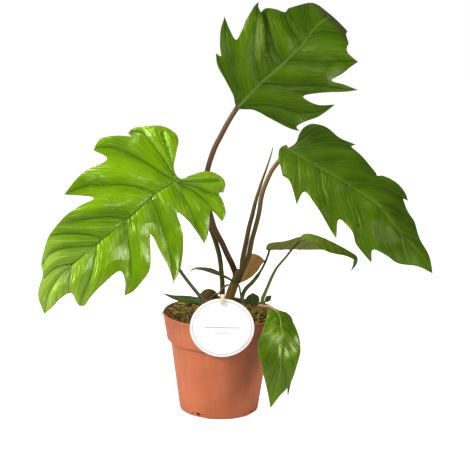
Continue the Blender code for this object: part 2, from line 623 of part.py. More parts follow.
def foot_cutters(angle):
    """The recess of one foot notch, and the bore of its drain hole."""
    bpy.ops.mesh.primitive_cube_add(size=1, location=foot_point(angle, BASE_RADIUS, 0))
    recess = bpy.context.active_object
    recess.scale = (FOOT_NOTCH_WIDTH, 2 * FOOT_NOTCH_DEPTH, 2 * FOOT_NOTCH_HEIGHT)
    recess.rotation_euler = (0, 0, angle)
    bpy.ops.mesh.primitive_cylinder_add(
        vertices=DRAIN_SIDES,
        radius=DRAIN_RADIUS,
        depth=DRAIN_LENGTH,
        location=foot_point(angle, INNER_FLOOR_RADIUS, DRAIN_HEIGHT),
        rotation=(math.radians(90), 0, angle),
    )
    return recess, bpy.context.active_object


def pot():
    outside = [
        (0, 0), (BASE_RADIUS - FOOT_ROUND, 0), (BASE_RADIUS, FOOT_ROUND),
        (WALL_TOP_RADIUS, COLLAR_FOOT - NECK), (WALL_TOP_RADIUS + CORNER, COLLAR_FOOT - NECK / 4),
        (COLLAR_FOOT_RADIUS - CORNER, COLLAR_FOOT),
        (collar_radius(COLLAR_FOOT + CORNER), COLLAR_FOOT + CORNER),
        (collar_radius(POT_HEIGHT - LIP), POT_HEIGHT - LIP),
        (RIM_RADIUS - LIP / 2, POT_HEIGHT - LIP / 4), (RIM_RADIUS - LIP, POT_HEIGHT),
    ]
    lip = [(INNER_RIM + LIP / 4, POT_HEIGHT - LIP / 4), (INNER_RIM, POT_HEIGHT - LIP)]
    body = turned("pot", list(reversed(outside + lip + POT_INSIDE)), POT_STEPS, POT_LOOK)
    for k in range(FOOT_NOTCHES):
        for cutter in foot_cutters(FOOT_NOTCH_AT + k * math.tau / FOOT_NOTCHES):
            cutter.name = f"foot_cutter_{k}"
            body = cut(body, settle(cutter, CUTTERS))
    return body


def soil_height(x, y):
    """The top of the soil in metres: a mound towards the stem, with crumbs."""
    share = min(math.hypot(x, y) / INNER_RIM, 1.0)
    from_stem = math.hypot(x - STEM_FOOT[0] * MM, y - STEM_FOOT[1] * MM)
    middle = MIDDLE_SHARE * (1 - share**3)
    round_stem = (1 - MIDDLE_SHARE) * math.exp(-((from_stem / MOUND_REACH) ** 2))
    crumbs = SOIL_BUMP * noise.noise(Vector((x, y, 0.0)) / BUMP_SIZE) * (1 - share**8)
    return SOIL_EDGE + SOIL_MOUND * (middle + round_stem) + crumbs


def soil():
    """The root ball: it fills the pot, a gap clear of the wall all round."""
    top_radius = collar_radius(SOIL_EDGE) - RIM_WALL - GAP
    rings = [(top_radius * k / SOIL_RINGS, SOIL_EDGE) for k in range(SOIL_RINGS + 1)]
    wall = [(max(radius - GAP, 0), height + GAP) for radius, height in POT_INSIDE]
    body = turned("soil", rings + wall, POT_STEPS, SOIL_LOOK)
    for vertex in body.data.vertices:
        if vertex.co.z > SOIL_EDGE - 0.01 * MM:
            vertex.co.z = soil_height(vertex.co.x, vertex.co.y)
    return body


# Card and its pick
def card_point(up, out):
    """(y, z) at a height along the card from its centre, and so far in front of its back face."""
    lean = math.atan(COLLAR_SLOPE)
    y = -collar_radius(CARD_HEIGHT) - GAP - up * math.sin(lean) - out * math.cos(lean)
    z = CARD_HEIGHT + up * math.cos(lean) - out * math.sin(lean)
    return y, z


def card():
    """The round card, leaning as the collar leans."""
    bpy.ops.mesh.primitive_cylinder_add(
        vertices=CARD_SIDES,
        radius=CARD_RADIUS,
        depth=CARD_THICK,
        location=(CARD_X, *card_point(0.0, CARD_THICK / 2)),
        rotation=(math.radians(90) + math.atan(COLLAR_SLOPE), 0, 0),
    )
    obj = settle(bpy.context.active_object, PLANT)
    obj.name = "label_card"
    obj.data.materials.append(CARD_LOOK)
    return obj


def flat_outline(name, points, width, look, into=None):
    """A closed outline of (y, z), so wide along X and centred on the card."""
    data = bpy.data.curves.new(name, "CURVE")
    data.dimensions = "2D"
    data.fill_mode = "BOTH"
    data.extrude = width / 2
    spline = data.splines.new("POLY")
    spline.points.add(len(points) - 1)
    for point, (y, z) in zip(spline.points, points):
        point.co = (y, z, 0.0, 1.0)
    spline.use_cyclic_u = True
    if look:
        data.materials.append(look)
    obj = settle(bpy.data.objects.new(name, data), into or PLANT)
    obj.rotation_euler = (math.radians(90), 0, math.radians(90))
    obj.location.x = CARD_X
    return made_mesh(obj)


def pick():
    """A flat wooden pick behind the card, with a hooked head that holds the card's upper edge."""
    back, front = -GAP, CARD_THICK + GAP
    back_face, front_face = back - PICK_WALL, front + PICK_WALL
    crown, shoulder = CARD_RADIUS + PICK_ABOVE, CARD_RADIUS + PICK_ABOVE - HEAD_ROUND
    lip = CARD_RADIUS - PICK_OVER
    bend = CARD_RADIUS - PICK_BEND
    head = [
        card_point(lip, front), card_point(lip, front_face), card_point(shoulder, front_face),
        card_point(crown - HEAD_CORNER, front_face - HEAD_CORNER), card_point(crown, front / 2),
        card_point(crown - HEAD_CORNER, back_face + HEAD_CORNER), card_point(shoulder, back_face),
        card_point(bend, back_face),
    ]
    y, z = PICK_FOOT
    foot = [(y + PICK_TAPER, z), (y - PICK_TAPER, z)]
    over = CARD_RADIUS + GAP
    throat = [card_point(bend, back), card_point(over, back), card_point(over, front)]
    return flat_outline("label_pick", head + foot + throat, PICK_WIDTH, WOOD_LOOK)


def pick_hole():
    """The slot in the soil that the pick stands in, a gap clear of it all round."""
    bend = CARD_RADIUS - PICK_BEND
    clear = 1.5 * GAP
    (far_y, far_z), (near_y, near_z) = card_point(bend, -GAP), card_point(bend, -GAP - PICK_WALL)
    y, z = PICK_FOOT
    points = [
        (near_y + clear, near_z), (y + PICK_TAPER + clear, z - GAP),
        (y - PICK_TAPER - clear, z - GAP), (far_y - clear, far_z),
    ]
    return flat_outline("pick_hole", points, PICK_WIDTH + 2 * GAP, None, CUTTERS)


def hole(points, name, step):
    """The plain hole that a stalk stands in, a gap wider and deeper than the stalk."""
    x, y, z, radius = points[0]
    return tube(name, [(x, y, z - GAP / MM, radius), *points[1:]], None, GAP, step, CUTTERS)


def stem_cutter():
    """The main stem grown by a gap, which trims the stalks that come out of it and the soil."""
    low, *between, high = STEM
    below = (*low[:2], low[2] - GAP / MM, low[3])
    above = (*high[:2], high[2] + GAP / MM, high[3])
    return tube("stem_cutter", [below, *between, above], None, GAP, into=CUTTERS)


STEM_LEAVES = (           # these two and the new leaf grow out of the main stem
    ("leaf_top", TOP_STALK, TOP_BLADE, MID_LEAF, BROWN_STALK),
    ("leaf_right", RIGHT_STALK, RIGHT_BLADE, DARK_LEAF, BROWN_STALK),
)
SMALL_LEAVES = (          # the last value is the spacing of the blade's points in mm
    ("leaf_side_upper", SIDE_UPPER_STALK, SIDE_UPPER_BLADE, MID_LEAF, GREEN_STALK, 6.0),
    ("leaf_side_lower", SIDE_LOWER_STALK, SIDE_LOWER_BLADE, UNDER_LEAF, BROWN_STALK, 6.0),
    ("leaf_front", FRONT_STALK, FRONT_BLADE, MID_LEAF, PINK_STALK, 6.0),
    ("leaf_behind", BEHIND_STALK, BEHIND_BLADE, DARK_LEAF, PINK_STALK, 6.0),
    ("leaf_strap", STRAP_STALK, STRAP_BLADE, DARK_LEAF, GREEN_STALK, 5.0),
    ("leaf_low", LOW_STALK, LOW_BLADE, DARK_LEAF, GREEN_STALK, 5.0),
    ("leaf_back", BACK_STALK, BACK_BLADE, MID_LEAF, GREEN_STALK, 6.0),
    ("leaf_round", ROUND_STALK, ROUND_BLADE, DARK_LEAF, GREEN_STALK, 4.0),
    ("leaf_young", YOUNG_STALK, YOUNG_BLADE, DARK_LEAF, GREEN_STALK, 3.0),
)


def main():
    pot()
    trimmer = stem_cutter()
    ground = cut(soil(), trimmer)
    tube("main_stem", STEM, BROWN_STALK)

    ground = cut(ground, hole(LEFT_STALK, "leaf_left_hole", STALK_STEP))
    trim_to_blade(tube("leaf_left_petiole", LEFT_STALK, GREEN_STALK), LEFT_BLADE)
    blade_object("leaf_left_blade", LEFT_BLADE, BRIGHT_LEAF)

    for name, points, blade, leaf, stalk in STEM_LEAVES:
        cut(trim_to_blade(tube(f"{name}_petiole", points, stalk), blade), trimmer)
        blade_object(f"{name}_blade", blade, leaf)
    cut(tube("new_leaf_spike", SPIKE, GREEN_STALK), trimmer)
    sheath = blade_object("stem_sheath", SHEATH_BLADE, DRY_LOOK, PAPER_SPACING, PAPER_EDGE, PAPER_RIB)
    cut(sheath, trimmer)

    for name, points, blade, leaf, stalk, spacing in SMALL_LEAVES:
        ground = cut(ground, hole(points, f"{name}_hole", SMALL_STEP))
        petiole = tube(f"{name}_petiole", points, stalk, step=SMALL_STEP)
        trim_to_blade(petiole, blade, SMALL_RIB_THICK)
        blade_object(f"{name}_blade", blade, leaf, spacing, rib_thick=SMALL_RIB_THICK)

    ground = cut(ground, hole(DRY_STALK, "dry_stalk_hole", DRY_STEP))
    tube("dry_stalk", DRY_STALK, DRY_LOOK, step=DRY_STEP)
    blade_object("dry_leaf", DRY_BLADE, DARK_DRY, PAPER_SPACING, PAPER_EDGE, PAPER_RIB)
    card()
    pick()
    cut(ground, pick_hole())


main()
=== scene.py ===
# %% [markdown]
# # A young philodendron in its nursery pot
# The real object is a houseplant: a few leathery, lobed leaves on long stalks, a soil ball
# with moss on it, a thin plastic pot and a round card on a wooden pick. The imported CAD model
# gives every piece its place and size. Here each one is modelled again with its finer shape
# and gets a procedural material. First the frame is loaded and its box is kept.

# %% Tools and frame
import math

import bpy
import numpy as np
from mathutils import Matrix, Vector, noise
from mathutils.geometry import delaunay_2d_cdt


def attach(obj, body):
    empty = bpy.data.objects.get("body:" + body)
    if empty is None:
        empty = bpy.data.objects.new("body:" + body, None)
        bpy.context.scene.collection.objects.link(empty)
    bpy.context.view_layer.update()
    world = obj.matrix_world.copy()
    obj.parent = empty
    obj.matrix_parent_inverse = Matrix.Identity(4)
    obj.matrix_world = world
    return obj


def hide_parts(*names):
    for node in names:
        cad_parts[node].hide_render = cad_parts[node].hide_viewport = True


MM = 0.001
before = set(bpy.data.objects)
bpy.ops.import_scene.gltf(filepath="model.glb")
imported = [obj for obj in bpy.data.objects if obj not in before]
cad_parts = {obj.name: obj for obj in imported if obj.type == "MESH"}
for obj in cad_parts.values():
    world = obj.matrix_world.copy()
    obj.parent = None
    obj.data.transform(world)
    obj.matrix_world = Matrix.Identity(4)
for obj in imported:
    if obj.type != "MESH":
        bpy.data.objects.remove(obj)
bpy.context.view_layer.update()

# %% [markdown]
# ## Camera
# The photo is taken from a little above the pot with a long lens. A camera could be aimed with
# a Track To constraint. Its three directions are set here instead, because the photo is also
# turned by about one degree and a constraint wouldn't give that.

# %% Camera
CAMERA_AT = Vector((0.0, -1.2373, 0.4489))
YAW, PITCH, ROLL = (math.radians(angle) for angle in (0.62, -12.02, 1.21))
LENS = 94.29


def photo_camera():
    """A camera at the photo's place, turned by the three angles."""
    ahead = Vector((
        math.sin(YAW) * math.cos(PITCH), math.cos(YAW) * math.cos(PITCH), math.sin(PITCH)))
    level = ahead.cross(Vector((0, 0, 1))).normalized()
    upright = level.cross(ahead)
    right = math.cos(ROLL) * level + math.sin(ROLL) * upright
    up = math.cos(ROLL) * upright - math.sin(ROLL) * level
    bpy.ops.object.camera_add()
    camera = bpy.context.active_object
    camera.name = "photo_camera"
    camera.data.lens = LENS
    turn = Matrix((right, up, -ahead)).transposed()
    camera.matrix_world = Matrix.Translation(CAMERA_AT) @ turn.to_4x4()
    return camera


bpy.context.scene.camera = photo_camera()
print("lens:", LENS, "mm")

# %% [markdown]
# ## Shader nodes
# The room, the paper and every finish below are made of shader nodes. They could be dragged
# together in the shader editor. In a script, a helper adds a node, sets it and links it in one
# line, so that a finish reads as a short list of steps.

# %% Node helpers


def feed(tree, socket, part):
    """Gives a socket its part: another socket, a number or a colour."""
    if isinstance(part, bpy.types.NodeSocket):
        tree.links.new(part, socket)
    else:
        socket.default_value = (*part, 1.0) if socket.type == "RGBA" else part


def add_node(tree, kind, parts=(), **settings):
    """A new node with these settings, and with these parts on its inputs."""
    made = tree.nodes.new(kind)
    for key, value in settings.items():
        setattr(made, key, value)
    for socket, part in dict(parts).items():
        feed(tree, made.inputs[socket], part)
    return made


def mix(tree, factor, first, second):
    """A mix of two colours."""
    parts = {0: factor, 6: first, 7: second}
    return add_node(tree, "ShaderNodeMix", parts, data_type="RGBA").outputs[2]


def calculate(tree, operation, *parts):
    return add_node(tree, "ShaderNodeMath", enumerate(parts), operation=operation).outputs[0]


def times(tree, first, second):
    return calculate(tree, "MULTIPLY", first, second)


def grey(value):
    return (value, value, value)


# %% [markdown]
# ## Light
# The photo is a studio picture on white, with one large soft light from the upper left, weaker
# ones above and on the right, and much light bounced from the white room. Sun lamps would give
# hard edges on the glossy leaves, so area lights are used, which also show in the leaves as the
# long pale highlights that the photo has. The leaves mirror the lamps much more than the room:
# a room mirrored at full white would lay a grey veil over the greens.

# %% Light
PLANT_MIDDLE = Vector((0, 0, 0.2))
ROOM_AS_LIGHT, ROOM_IN_GLOSS, ROOM_SEEN = 0.32, 0.05, 1.0


def soft_light(name, place, size, power):
    """A glowing rectangle that points at the plant."""
    bpy.ops.object.light_add(type="AREA", location=place)
    lamp = bpy.context.active_object
    lamp.name = name
    lamp.data.shape = "RECTANGLE"
    lamp.data.size, lamp.data.size_y = size
    lamp.data.energy = power
    lamp.rotation_euler = (PLANT_MIDDLE - Vector(place)).to_track_quat("-Z", "Y").to_euler()
    print(name, "watts:", power)


soft_light("key_light", (-1.15, -0.62, 1.0), (0.6, 0.6), 34)
soft_light("top_light", (-0.30, 0.50, 1.42), (0.8, 0.4), 12)
soft_light("low_right_light", (1.08, -0.70, 0.54), (0.42, 0.26), 6.5)
soft_light("high_right_light", (0.54, -1.01, 1.04), (0.4, 0.3), 3.0)


def white_room():
    """An even white room: full white to the eye, weaker as a light and weakest in the gloss."""
    room = bpy.data.worlds.new("white_room")
    room.use_nodes = True
    tree = room.node_tree
    ray = add_node(tree, "ShaderNodeLightPath").outputs
    shade = mix(tree, ray["Is Glossy Ray"], grey(ROOM_AS_LIGHT), grey(ROOM_IN_GLOSS))
    shade = mix(tree, ray["Is Camera Ray"], shade, grey(ROOM_SEEN))
    background = tree.nodes["Background"].inputs
    feed(tree, background["Color"], shade)
    feed(tree, background["Strength"], 1.0)
    return room


bpy.context.scene.world = white_room()
bpy.context.scene.view_settings.view_transform = "Standard"

# %% [markdown]
# ## Floor
# The plant stands on a sheet of white paper, which runs on to the horizon. Paper in such a
# picture is lit until it is almost white, so to the camera this one glows a little by itself
# and its shadows stay faint. The leaves see it darker, or their green would wash out. It isn't a
# part of the object, so it is only staged.

# %% Floor
PAPER_SIZE = 60.0         # m


def deselect():
    """Operators act on all that is selected, so at first nothing may be."""
    for other in bpy.context.selected_objects:
        other.select_set(False)


def shader(name, **sockets):
    """A new material, and the sockets of its Principled shader, some of them set."""
    look = bpy.data.materials.new(name)
    look.use_nodes = True
    inputs = look.node_tree.nodes["Principled BSDF"].inputs
    for socket, part in sockets.items():
        feed(look.node_tree, inputs[socket.replace("_", " ")], part)
    return look, inputs


def paper_look():
    look, inputs = shader("white_paper", Roughness=0.6, Specular_IOR_Level=0.2,
                          Emission_Color=grey(1.0))
    tree = look.node_tree
    by_camera = add_node(tree, "ShaderNodeLightPath").outputs["Is Camera Ray"]
    feed(tree, inputs["Base Color"], mix(tree, by_camera, grey(0.45), grey(0.60)))
    feed(tree, inputs["Emission Strength"], times(tree, by_camera, 0.84))
    return look


deselect()
bpy.ops.mesh.primitive_plane_add(size=PAPER_SIZE, location=(0, 0, 0))
floor = bpy.context.active_object
floor.name = "white_paper"
floor.data.materials.append(paper_look())
print("floor:", [round(side, 2) for side in floor.dimensions])

# %% [markdown]
# ## Patterns and finishes
# A pattern has to stay where it is on its piece. It could be laid out with a UV map. Here it
# reads the object's own coordinates, or an attribute that the mesh carries. A finish that
# several pieces share is a node group, so each piece only brings its own colours.

# %% Pattern helpers


def step(tree, value, low, high, to_low=0.0, to_high=1.0):
    """Runs smoothly from to_low to to_high as the value goes from low to high."""
    sockets = ("Value", "From Min", "From Max", "To Min", "To Max")
    parts = zip(sockets, (value, low, high, to_low, to_high))
    return add_node(tree, "ShaderNodeMapRange", parts, interpolation_type="SMOOTHSTEP").outputs[0]


def patches(tree, vector, scale, detail=3.0, roughness=0.55):
    """Cloudy patches. The larger the scale, the smaller they are."""
    parts = {"Vector": vector, "Scale": scale, "Detail": detail, "Roughness": roughness}
    return add_node(tree, "ShaderNodeTexNoise", parts).outputs["Fac"]


def stretched(tree, vector, scale):
    return add_node(tree, "ShaderNodeMapping", {"Vector": vector, "Scale": scale}).outputs[0]


def object_place(tree):
    return add_node(tree, "ShaderNodeTexCoord").outputs["Object"]


def attribute(tree, name):
    """A piece's own attribute, a vector."""
    return add_node(tree, "ShaderNodeAttribute", attribute_name=name).outputs["Vector"]


def split(tree, vector):
    """The three numbers of a vector."""
    return add_node(tree, "ShaderNodeSeparateXYZ", {0: vector}).outputs


# %% Finish helpers


def skin_group(name, paint, colours, **numbers):
    """A node group that takes named colours and numbers to a colour, roughness and height."""
    made = bpy.data.node_groups.new(name, "ShaderNodeTree")
    for socket in colours:
        made.interface.new_socket(socket, in_out="INPUT", socket_type="NodeSocketColor")
    for socket, value in numbers.items():
        made.interface.new_socket(socket.replace("_", " "), in_out="INPUT",
                                  socket_type="NodeSocketFloat").default_value = value
    for socket, kind in (("Color", "Color"), ("Roughness", "Float"), ("Height", "Float")):
        made.interface.new_socket(socket, in_out="OUTPUT", socket_type=f"NodeSocket{kind}")
    painted_parts = paint(made, made.nodes.new("NodeGroupInput").outputs)
    for part, socket in zip(painted_parts, made.nodes.new("NodeGroupOutput").inputs):
        feed(made, socket, part)
    print(name, "inputs:", len(colours) + len(numbers))
    return made


def painted(name, paint, relief, **sockets):
    """A material whose colour, roughness and height come from paint. The relief is in mm."""
    look, inputs = shader(name, **sockets)
    tree = look.node_tree
    colour, rough, height = paint(tree)
    raised = add_node(tree, "ShaderNodeBump",
                      {"Strength": 1.0, "Distance": relief * MM, "Height": height})
    feed(tree, inputs["Base Color"], colour)
    feed(tree, inputs["Roughness"], rough)
    feed(tree, inputs["Normal"], raised.outputs["Normal"])
    return look


def skinned(name, skin, relief, values, **sockets):
    """A material that wears a node group, with its own values on the group's inputs."""
    parts = {socket.replace("_", " "): value for socket, value in values.items()}
    return painted(name, lambda tree: add_node(
        tree, "ShaderNodeGroup", parts, node_tree=skin).outputs, relief, **sockets)


# %% [markdown]
# ## Leaf skin
# A philodendron leaf is leathery and waxed. From its midrib, side veins run to the tip of
# each lobe, and between them lie fine veins that all run the same way. An image would show this
# only from one distance. Here each leaf's mesh carries three attributes: where a point lies on
# the blade, where it lies between the side veins, and how far it is from the edge. A node group
# turns them into colour, gloss and relief, and each finish brings its own greens. The gloss is
# tinted green, because wax over such a deep green mirrors little that is blue.

# %% Leaf skin group
GREEN_GLOSS = (0.75, 1.0, 0.15)
FINE_VEINS, FINER_VEINS = (11.0, 1.0, 0.0), (30.0, 1.5, 0.0)   # how often they cross a lane


def paint_leaf(tree, given):
    """Colour, roughness and height of a leaf, from its attributes and the given values."""
    along, across, under = split(tree, attribute(tree, "blade"))
    lanes = attribute(tree, "veins")
    lane_number, _, to_vein = split(tree, lanes)
    to_edge = split(tree, attribute(tree, "edges"))[0]
    place = object_place(tree)
    fine = patches(tree, stretched(tree, lanes, FINE_VEINS), 1.0, 2.0)
    finer = patches(tree, stretched(tree, lanes, FINER_VEINS), 1.0, 1.0)
    clouds = patches(tree, place, 22.0, 2.0)
    specks = patches(tree, place, 130.0)
    # two greens in clouds, painted light on the swellings and a painted sheen towards the tip
    shade = mix(tree, step(tree, clouds, 0.35, 0.65), given["Deep"], given["Base"])
    shade = mix(tree, times(tree, step(tree, to_vein, 3.0, 13.0), 0.45), shade, given["Light"])
    # painted sheen: the tip is mixed towards the light green, as far as the leaf asks
    tip_sheen = times(tree, step(tree, along, 0.55, 0.95), given["Tip Light"])
    shade = mix(tree, tip_sheen, shade, given["Light"])
    # painted shade: darker in one lane, if a leaf asks for it, and beside each side vein
    off_lane = calculate(tree, "SUBTRACT", lane_number, given["Dark Lane"])
    lane_shade = step(tree, calculate(tree, "ABSOLUTE", off_lane), 0.35, 0.60, 0.9, 0.0)
    shade = mix(tree, lane_shade, shade, given["Deep"])
    # painted shade beside each side vein, where the blade sinks into a crease
    beside = times(tree, step(tree, to_vein, 0.4, 3.2, 1.0, 0.0), given["Vein Shade"])
    shade = mix(tree, beside, shade, given["Deep"])
    # fine veins, some pale, some dark, and in a sheened tip pale streaks of painted highlight
    pale = times(tree, step(tree, fine, 0.42, 0.66), given["Streaks"])
    shade = mix(tree, pale, shade, given["Light"])
    dark = times(tree, step(tree, finer, 0.30, 0.55, 1.0, 0.0), given["Streaks"])
    shade = mix(tree, times(tree, dark, 0.7), shade, given["Deep"])
    tip_highlights = times(tree, step(tree, fine, 0.40, 0.60, 0.15, 0.75), tip_sheen)
    shade = mix(tree, tip_highlights, shade, given["Tip"])
    # side veins, then the midrib, which narrows towards the tip
    from_vein = calculate(tree, "DIVIDE", to_vein, given["Vein Width"])
    on_vein = step(tree, from_vein, 0.45, 1.25, 0.85, 0.0)
    shade = mix(tree, on_vein, shade, given["Vein"])
    width = times(tree, given["Rib Width"], calculate(tree, "SUBTRACT", 1.15, along))
    from_rib = calculate(tree, "DIVIDE", calculate(tree, "ABSOLUTE", across), width)
    on_rib = step(tree, calculate(tree, "SUBTRACT", 1.0, from_rib), 0.0, 0.6)
    shade = mix(tree, on_rib, shade, given["Rib"])
    # the thin edge, and the dried tip of an old leaf
    on_edge = step(tree, to_edge, 0.25, 0.9, 0.8, 0.0)
    aged = step(tree, calculate(tree, "SUBTRACT", along, given["Old Tip"]), 0.0, 0.08, 0.0, 0.8)
    shade = mix(tree, calculate(tree, "MAXIMUM", on_edge, aged), shade, given["Edge"])
    # the underside is paler and duller
    below = mix(tree, step(tree, fine, 0.35, 0.7, 0.0, 0.35), given["Under"], given["Light"])
    below = mix(tree, calculate(tree, "MAXIMUM", on_vein, on_rib), below, given["Edge"])
    shade = mix(tree, under, shade, below)
    rough = calculate(tree, "MULTIPLY_ADD", specks, 0.16, given["Gloss"])
    rough = calculate(tree, "MULTIPLY_ADD", under, 0.15, rough)
    height = calculate(tree, "MULTIPLY_ADD", finer, 0.35, times(tree, fine, 0.8))
    return shade, rough, calculate(tree, "MULTIPLY_ADD", on_vein, -0.5, height)


LEAF_SKIN = skin_group(
    "leaf_skin", paint_leaf, ("Base", "Light", "Deep", "Rib", "Vein", "Under", "Edge", "Tip"),
    Streaks=0.5, Gloss=0.35, Rib_Width=1.2, Vein_Width=0.6, Vein_Shade=0.5, Tip_Light=0.0,
    Old_Tip=2.0, Dark_Lane=-9.0)

# %% Leaf colours


def leaf_look(name, relief=0.35, coat=0.05, coat_rough=0.2, shine=0.25, **values):
    return skinned(name, LEAF_SKIN, relief, values, Coat_Weight=coat, Coat_Roughness=coat_rough,
                   Specular_IOR_Level=shine, Specular_Tint=GREEN_GLOSS)


# this leaf has a painted sheen at its tip, with pale streaks of painted highlight in its Tip colour
LEFT_SKIN = leaf_look(
    "bright_leaf_skin", coat=0.22, coat_rough=0.15, shine=0.7, relief=1.4,
    Base=(0.125, 0.255, 0.001), Light=(0.200, 0.365, 0.004), Deep=(0.070, 0.158, 0.001),
    Rib=(0.062, 0.135, 0.002), Vein=(0.045, 0.110, 0.001), Under=(0.30, 0.42, 0.10),
    Edge=(0.13, 0.17, 0.02), Tip=(0.38, 0.56, 0.10), Streaks=0.22, Gloss=0.17, Rib_Width=1.3,
    Vein_Width=0.45, Vein_Shade=0.6, Tip_Light=1.0)
# one lane of this leaf, where its second lobe folds over the third section, gets painted shade
TOP_SKIN = leaf_look(
    "mid_leaf_skin", coat=0.10, shine=0.35, relief=1.0, Base=(0.040, 0.096, 0.001),
    Light=(0.078, 0.155, 0.002), Deep=(0.022, 0.056, 0.001), Rib=(0.088, 0.138, 0.034),
    Vein=(0.028, 0.062, 0.002), Under=(0.26, 0.35, 0.10), Edge=(0.060, 0.058, 0.016),
    Streaks=0.32, Gloss=0.26, Rib_Width=1.8, Vein_Width=0.5, Vein_Shade=0.5, Old_Tip=0.66,
    Dark_Lane=22.5)
RIGHT_SKIN = leaf_look(
    "dark_leaf_skin", coat=0.10, shine=0.32, relief=0.9, Base=(0.040, 0.092, 0.001),
    Light=(0.068, 0.136, 0.002), Deep=(0.026, 0.060, 0.001), Rib=(0.075, 0.140, 0.025),
    Vein=(0.060, 0.115, 0.010), Under=(0.22, 0.31, 0.10), Edge=(0.05, 0.07, 0.005), Streaks=0.32,
    Gloss=0.26, Rib_Width=0.8, Vein_Width=0.5, Vein_Shade=0.15)
FRONT_SKIN = leaf_look(
    "front_leaf_skin", coat=0.28, coat_rough=0.16, shine=0.7, relief=0.6,
    Base=(0.080, 0.162, 0.001), Light=(0.135, 0.240, 0.002), Deep=(0.036, 0.084, 0.001),
    Rib=(0.17, 0.26, 0.03), Vein=(0.035, 0.072, 0.001), Under=(0.25, 0.35, 0.10),
    Edge=(0.15, 0.17, 0.03), Streaks=0.2, Gloss=0.19, Rib_Width=0.9, Vein_Width=0.35,
    Vein_Shade=0.4)
OLIVE_SKIN = leaf_look(
    "olive_leaf_skin", Base=(0.10, 0.14, 0.008), Light=(0.20, 0.26, 0.05),
    Deep=(0.05, 0.075, 0.004), Rib=(0.20, 0.23, 0.05), Vein=(0.16, 0.18, 0.035),
    Under=(0.275, 0.310, 0.070), Edge=(0.18, 0.20, 0.04), Streaks=0.3, Gloss=0.45, Rib_Width=1.0)
DUSKY_SKIN = leaf_look(
    "dusky_leaf_skin", coat=0.10, Base=(0.070, 0.100, 0.026), Light=(0.13, 0.155, 0.060),
    Deep=(0.030, 0.052, 0.010), Rib=(0.09, 0.12, 0.03), Vein=(0.035, 0.055, 0.01),
    Under=(0.14, 0.17, 0.05), Edge=(0.03, 0.04, 0.01), Streaks=0.5, Gloss=0.4, Rib_Width=0.8)
SIDE_SKIN = leaf_look(
    "side_leaf_skin", coat=0.10, Base=(0.110, 0.180, 0.004), Light=(0.180, 0.260, 0.012),
    Deep=(0.060, 0.100, 0.002), Rib=(0.13, 0.16, 0.03), Vein=(0.070, 0.110, 0.004),
    Under=(0.24, 0.27, 0.07), Edge=(0.03, 0.04, 0.006), Streaks=0.3, Gloss=0.36, Rib_Width=0.8)

# %% [markdown]
# ## Leaf shapes
# A leaf is a flat sheet that has grown bent. It could be sculpted, or cut from a grid. Here it
# is drawn flat first: its outline and side veins are points in millimetres along the midrib (u)
# and across it (v). The flat sheet is filled with triangles whose edges follow the veins. Then it
# is bent over a curved midrib, folded, waved at its edge, and creased at each vein. The outline
# and the veins thus give both the silhouette and the relief. The CAD source bends its leaves by
# the same formula.

# %% Curves through points


def smooth_curve(points, steps=12):
    """Points along a Catmull-Rom curve through the given ones."""
    p = np.asarray(points, float)
    q = np.vstack([2 * p[0] - p[1], p, 2 * p[-1] - p[-2]])
    out = []
    for i in range(1, len(q) - 2):
        a, b, c, d = q[i - 1 : i + 3]
        for t in np.arange(steps) / steps:
            out.append(0.5 * (2 * b + (c - a) * t + (2 * a - 5 * b + 4 * c - d) * t**2
                              + (3 * b - a - 3 * c + d) * t**3))
    out.append(p[-1])
    return np.array(out)


def evenly(points, spacing):
    """The same line with a point about every spacing."""
    points = np.asarray(points, float)
    run = np.concatenate([[0], np.cumsum(np.linalg.norm(np.diff(points, axis=0), axis=1))])
    where = np.linspace(0, run[-1], max(3, int(round(run[-1] / spacing)) + 1))
    return np.stack([np.interp(where, run, column) for column in points.T], axis=1)


def tip(u, v):
    """A pointed end of a lobe."""
    return (u, v, True)


def outline_line(outline, spacing):
    """The outline as a closed line, a point about every spacing, sharp at the tips."""
    points = [point if len(point) == 3 else (*point, False) for point in outline]
    first = next(i for i, point in enumerate(points) if point[2])
    points = points[first:] + points[: first + 1]
    line, stretch = [], []
    for point in points:
        stretch.append(point[:2])
        if point[2] and len(stretch) > 1:
            line.extend(evenly(smooth_curve(stretch, 16), spacing)[:-1])
            stretch = [point[:2]]
    return np.array(line)


def nearest(points, line, closed=False):
    """For each point: its distance to a line, and on which side of the line it lies."""
    ends = np.vstack([line[1:], line[:1]]) if closed else line[1:]
    starts = line if closed else line[:-1]
    way = ends - starts
    offset = points[:, None, :] - starts[None]
    share = np.clip((offset * way).sum(2) / (way**2).sum(1), 0, 1)
    gap = offset - way * share[:, :, None]
    far = np.linalg.norm(gap, axis=2)
    which = far.argmin(1)
    rows = np.arange(len(points))
    cross = way[which, 0] * gap[rows, which, 1] - way[which, 1] * gap[rows, which, 0]
    return far[rows, which], np.sign(cross)


def within(points, polygon):
    x, y = points[:, 0][:, None], points[:, 1][:, None]
    ax, ay = polygon[:, 0], polygon[:, 1]
    bx, by = np.roll(ax, -1), np.roll(ay, -1)
    with np.errstate(divide="ignore", invalid="ignore"):
        at = (bx - ax) * (y - ay) / (by - ay) + ax
    return (((ay > y) != (by > y)) & (x < at)).sum(1) % 2 == 1


# %% Bending a flat leaf
RIB_ROUND = 8.0           # mm, how softly the two halves fold at the midrib
RIB_AHEAD = 4.0           # mm, over which the midrib's direction is taken
WAVE_REACH, MOST_WAVE = 60.0, 1.2
WAVE_LENGTH = 46.0        # mm, from one wave of the edge to the next


